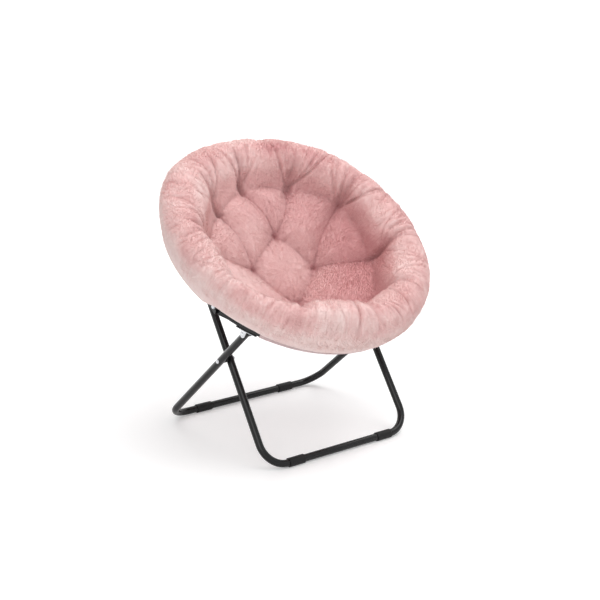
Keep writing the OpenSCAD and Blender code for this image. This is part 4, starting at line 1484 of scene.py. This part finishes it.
@dataclass
class Studio:
    """Floor, light and the photograph's camera."""

    eye: tuple = (-2.28624, -2.89564, 1.55587)
    aim: tuple = (-0.00164, -0.01912, 0.41023)
    azimuth: float = math.radians(-38.46)
    roll: float = math.radians(1.86)
    lens: float = 77.94

    def camera(self) -> None:
        """Set the camera at the photograph's angle."""
        data = bpy.data.cameras.new("camera")
        data.lens, data.sensor_width = self.lens, 36.0
        cam = bpy.data.objects.new("camera", data)
        back = (Vector(self.eye) - Vector(self.aim)).normalized()
        right = Vector((math.cos(self.azimuth), math.sin(self.azimuth), 0.0))
        right = (right - back * right.dot(back)).normalized()
        up = back.cross(right)
        c, s = math.cos(self.roll), math.sin(self.roll)
        axes = (right * c + up * s, up * c - right * s, back)
        facing = Matrix([[v[i] for v in axes] for i in range(3)]).to_4x4()
        cam.matrix_world = Matrix.Translation(self.eye) @ facing
        bpy.context.scene.collection.objects.link(cam)
        bpy.context.scene.camera = cam

    def floor(self) -> None:
        """Lay a plain pale floor that fades to white."""
        far = 30
        corners = [(-far, -far, 0), (far, -far, 0), (far, far, 0), (-far, far, 0)]
        obj = new_object("studio_floor", corners, [], [(0, 1, 2, 3)])
        material = bpy.data.materials.new("studio_floor")
        material.use_nodes = True
        g = Graph(material.node_tree)
        path = g.add("ShaderNodeLightPath")
        seen = g.math("MAXIMUM", path.outputs["Is Camera Ray"], path.outputs["Is Glossy Ray"])
        reach = g.add("ShaderNodeVectorMath", {0: g.coords()}, operation="LENGTH").outputs["Value"]
        away = g.ramp(reach, 0.7, 1.9)
        g.plug(material.node_tree.nodes["Principled BSDF"], {
            "Base Color": g.mix(away, rgb(0.88, 0.88, 0.88), rgb(0.80, 0.80, 0.80)),
            "Roughness": 0.9,
            "Specular IOR Level": 0.1,
            "Emission Color": rgb(1, 1, 1),
            "Emission Strength": g.math("MULTIPLY", seen, g.ramp(away, 0, 1, 0.25, 1.0)),
        })
        dress(obj, material)

    def light(self) -> None:
        """Hang soft lights and a white surround."""
        world = bpy.data.worlds.new("surround")
        bpy.context.scene.world = world
        world.use_nodes = True
        g = Graph(world.node_tree)
        path = g.add("ShaderNodeLightPath")
        seen = g.math("MAXIMUM", path.outputs["Is Camera Ray"], path.outputs["Is Glossy Ray"])
        seen = g.math("MAXIMUM", seen, path.outputs["Is Transmission Ray"])
        white = {0: rgb(1, 1, 1), 1: g.ramp(seen, 0.0, 1.0, 0.50, 1.0)}
        g.plug(world.node_tree.nodes["Background"], white)
        for name, place, size, power in (
            ("key", (0.9, -0.5, 3.8), 3.2, 94.0),
            ("fill", (-2.6, -2.4, 2.6), 2.8, 46.0),
            ("back", (0.2, 2.8, 2.8), 2.2, 24.0),
        ):
            data = bpy.data.lights.new(name, "AREA")
            data.size, data.energy = size, power
            lamp = bpy.data.objects.new(name, data)
            lamp.location = place
            lamp.rotation_mode = "QUATERNION"
            lamp.rotation_quaternion = (Vector(place) - Vector((0, 0, 0.45))).to_track_quat("Z", "Y")
            bpy.context.scene.collection.objects.link(lamp)
        bpy.context.scene.view_settings.view_transform = "Standard"


# ---------------------------------------------------------------- main


def main() -> None:
    """Build the chair's looks in order and report each piece."""
    logging.basicConfig(level=logging.INFO, format="%(message)s")
    studio = Studio()
    studio.camera()
    studio.floor()
    studio.light()
    paint = GlossPaint("gloss_black_paint").make()
    zinc = ZincPlate("zinc_plate").make()
    plastic = MouldedPlastic("black_plastic").make()
    cloth = BackingCloth("backing_cloth").make()
    plush = Plush("pink_plush").make()
    thread = SewingThread("sewing_thread").make()
    TubeFrame().dress(paint, plastic, zinc)
    cushion = Cushion().build(plush)
    pile = Pile().build(cushion, plush)
    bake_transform(cushion)
    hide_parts("cushion_back", "cushion_front")
    log.info("cushion: %d faces", len(cushion.data.polygons))
    for piece in pile:
        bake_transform(piece)
        log.info("pile %s: %d faces", piece.name, len(piece.data.polygons))
    sling = Sling()
    pieces = sling.build(cloth)
    bowl = pieces[0]
    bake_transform(bowl)
    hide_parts("sling_back", "sling_front")
    for hem in pieces[1:]:
        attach(hem, Body.FRONT_HOOP.value if "front" in hem.name else Body.BACK_HOOP.value)
        log.info("hem %s", hem.name)
    sewing = Stitching()
    seams = sewing.sew("sling_seam_stitches", sling.gore_rows(), thread)
    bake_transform(seams)
    for body in (Body.FRONT_HOOP, Body.BACK_HOOP):
        at_front = body is Body.FRONT_HOOP
        hems = [(a0, a1) for name, a0, a1 in sling.hems if ("front" in name) == at_front]
        rows = [row for a0, a1 in hems for row in sling.hem_rows(a0, a1)]
        stitches = sewing.sew(f"hem_stitches_{body.value}", rows, thread)
        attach(stitches, body.value)
        log.info("stitches %s: %d faces", stitches.name, len(stitches.data.polygons))


if __name__ == "__main__":
    main()
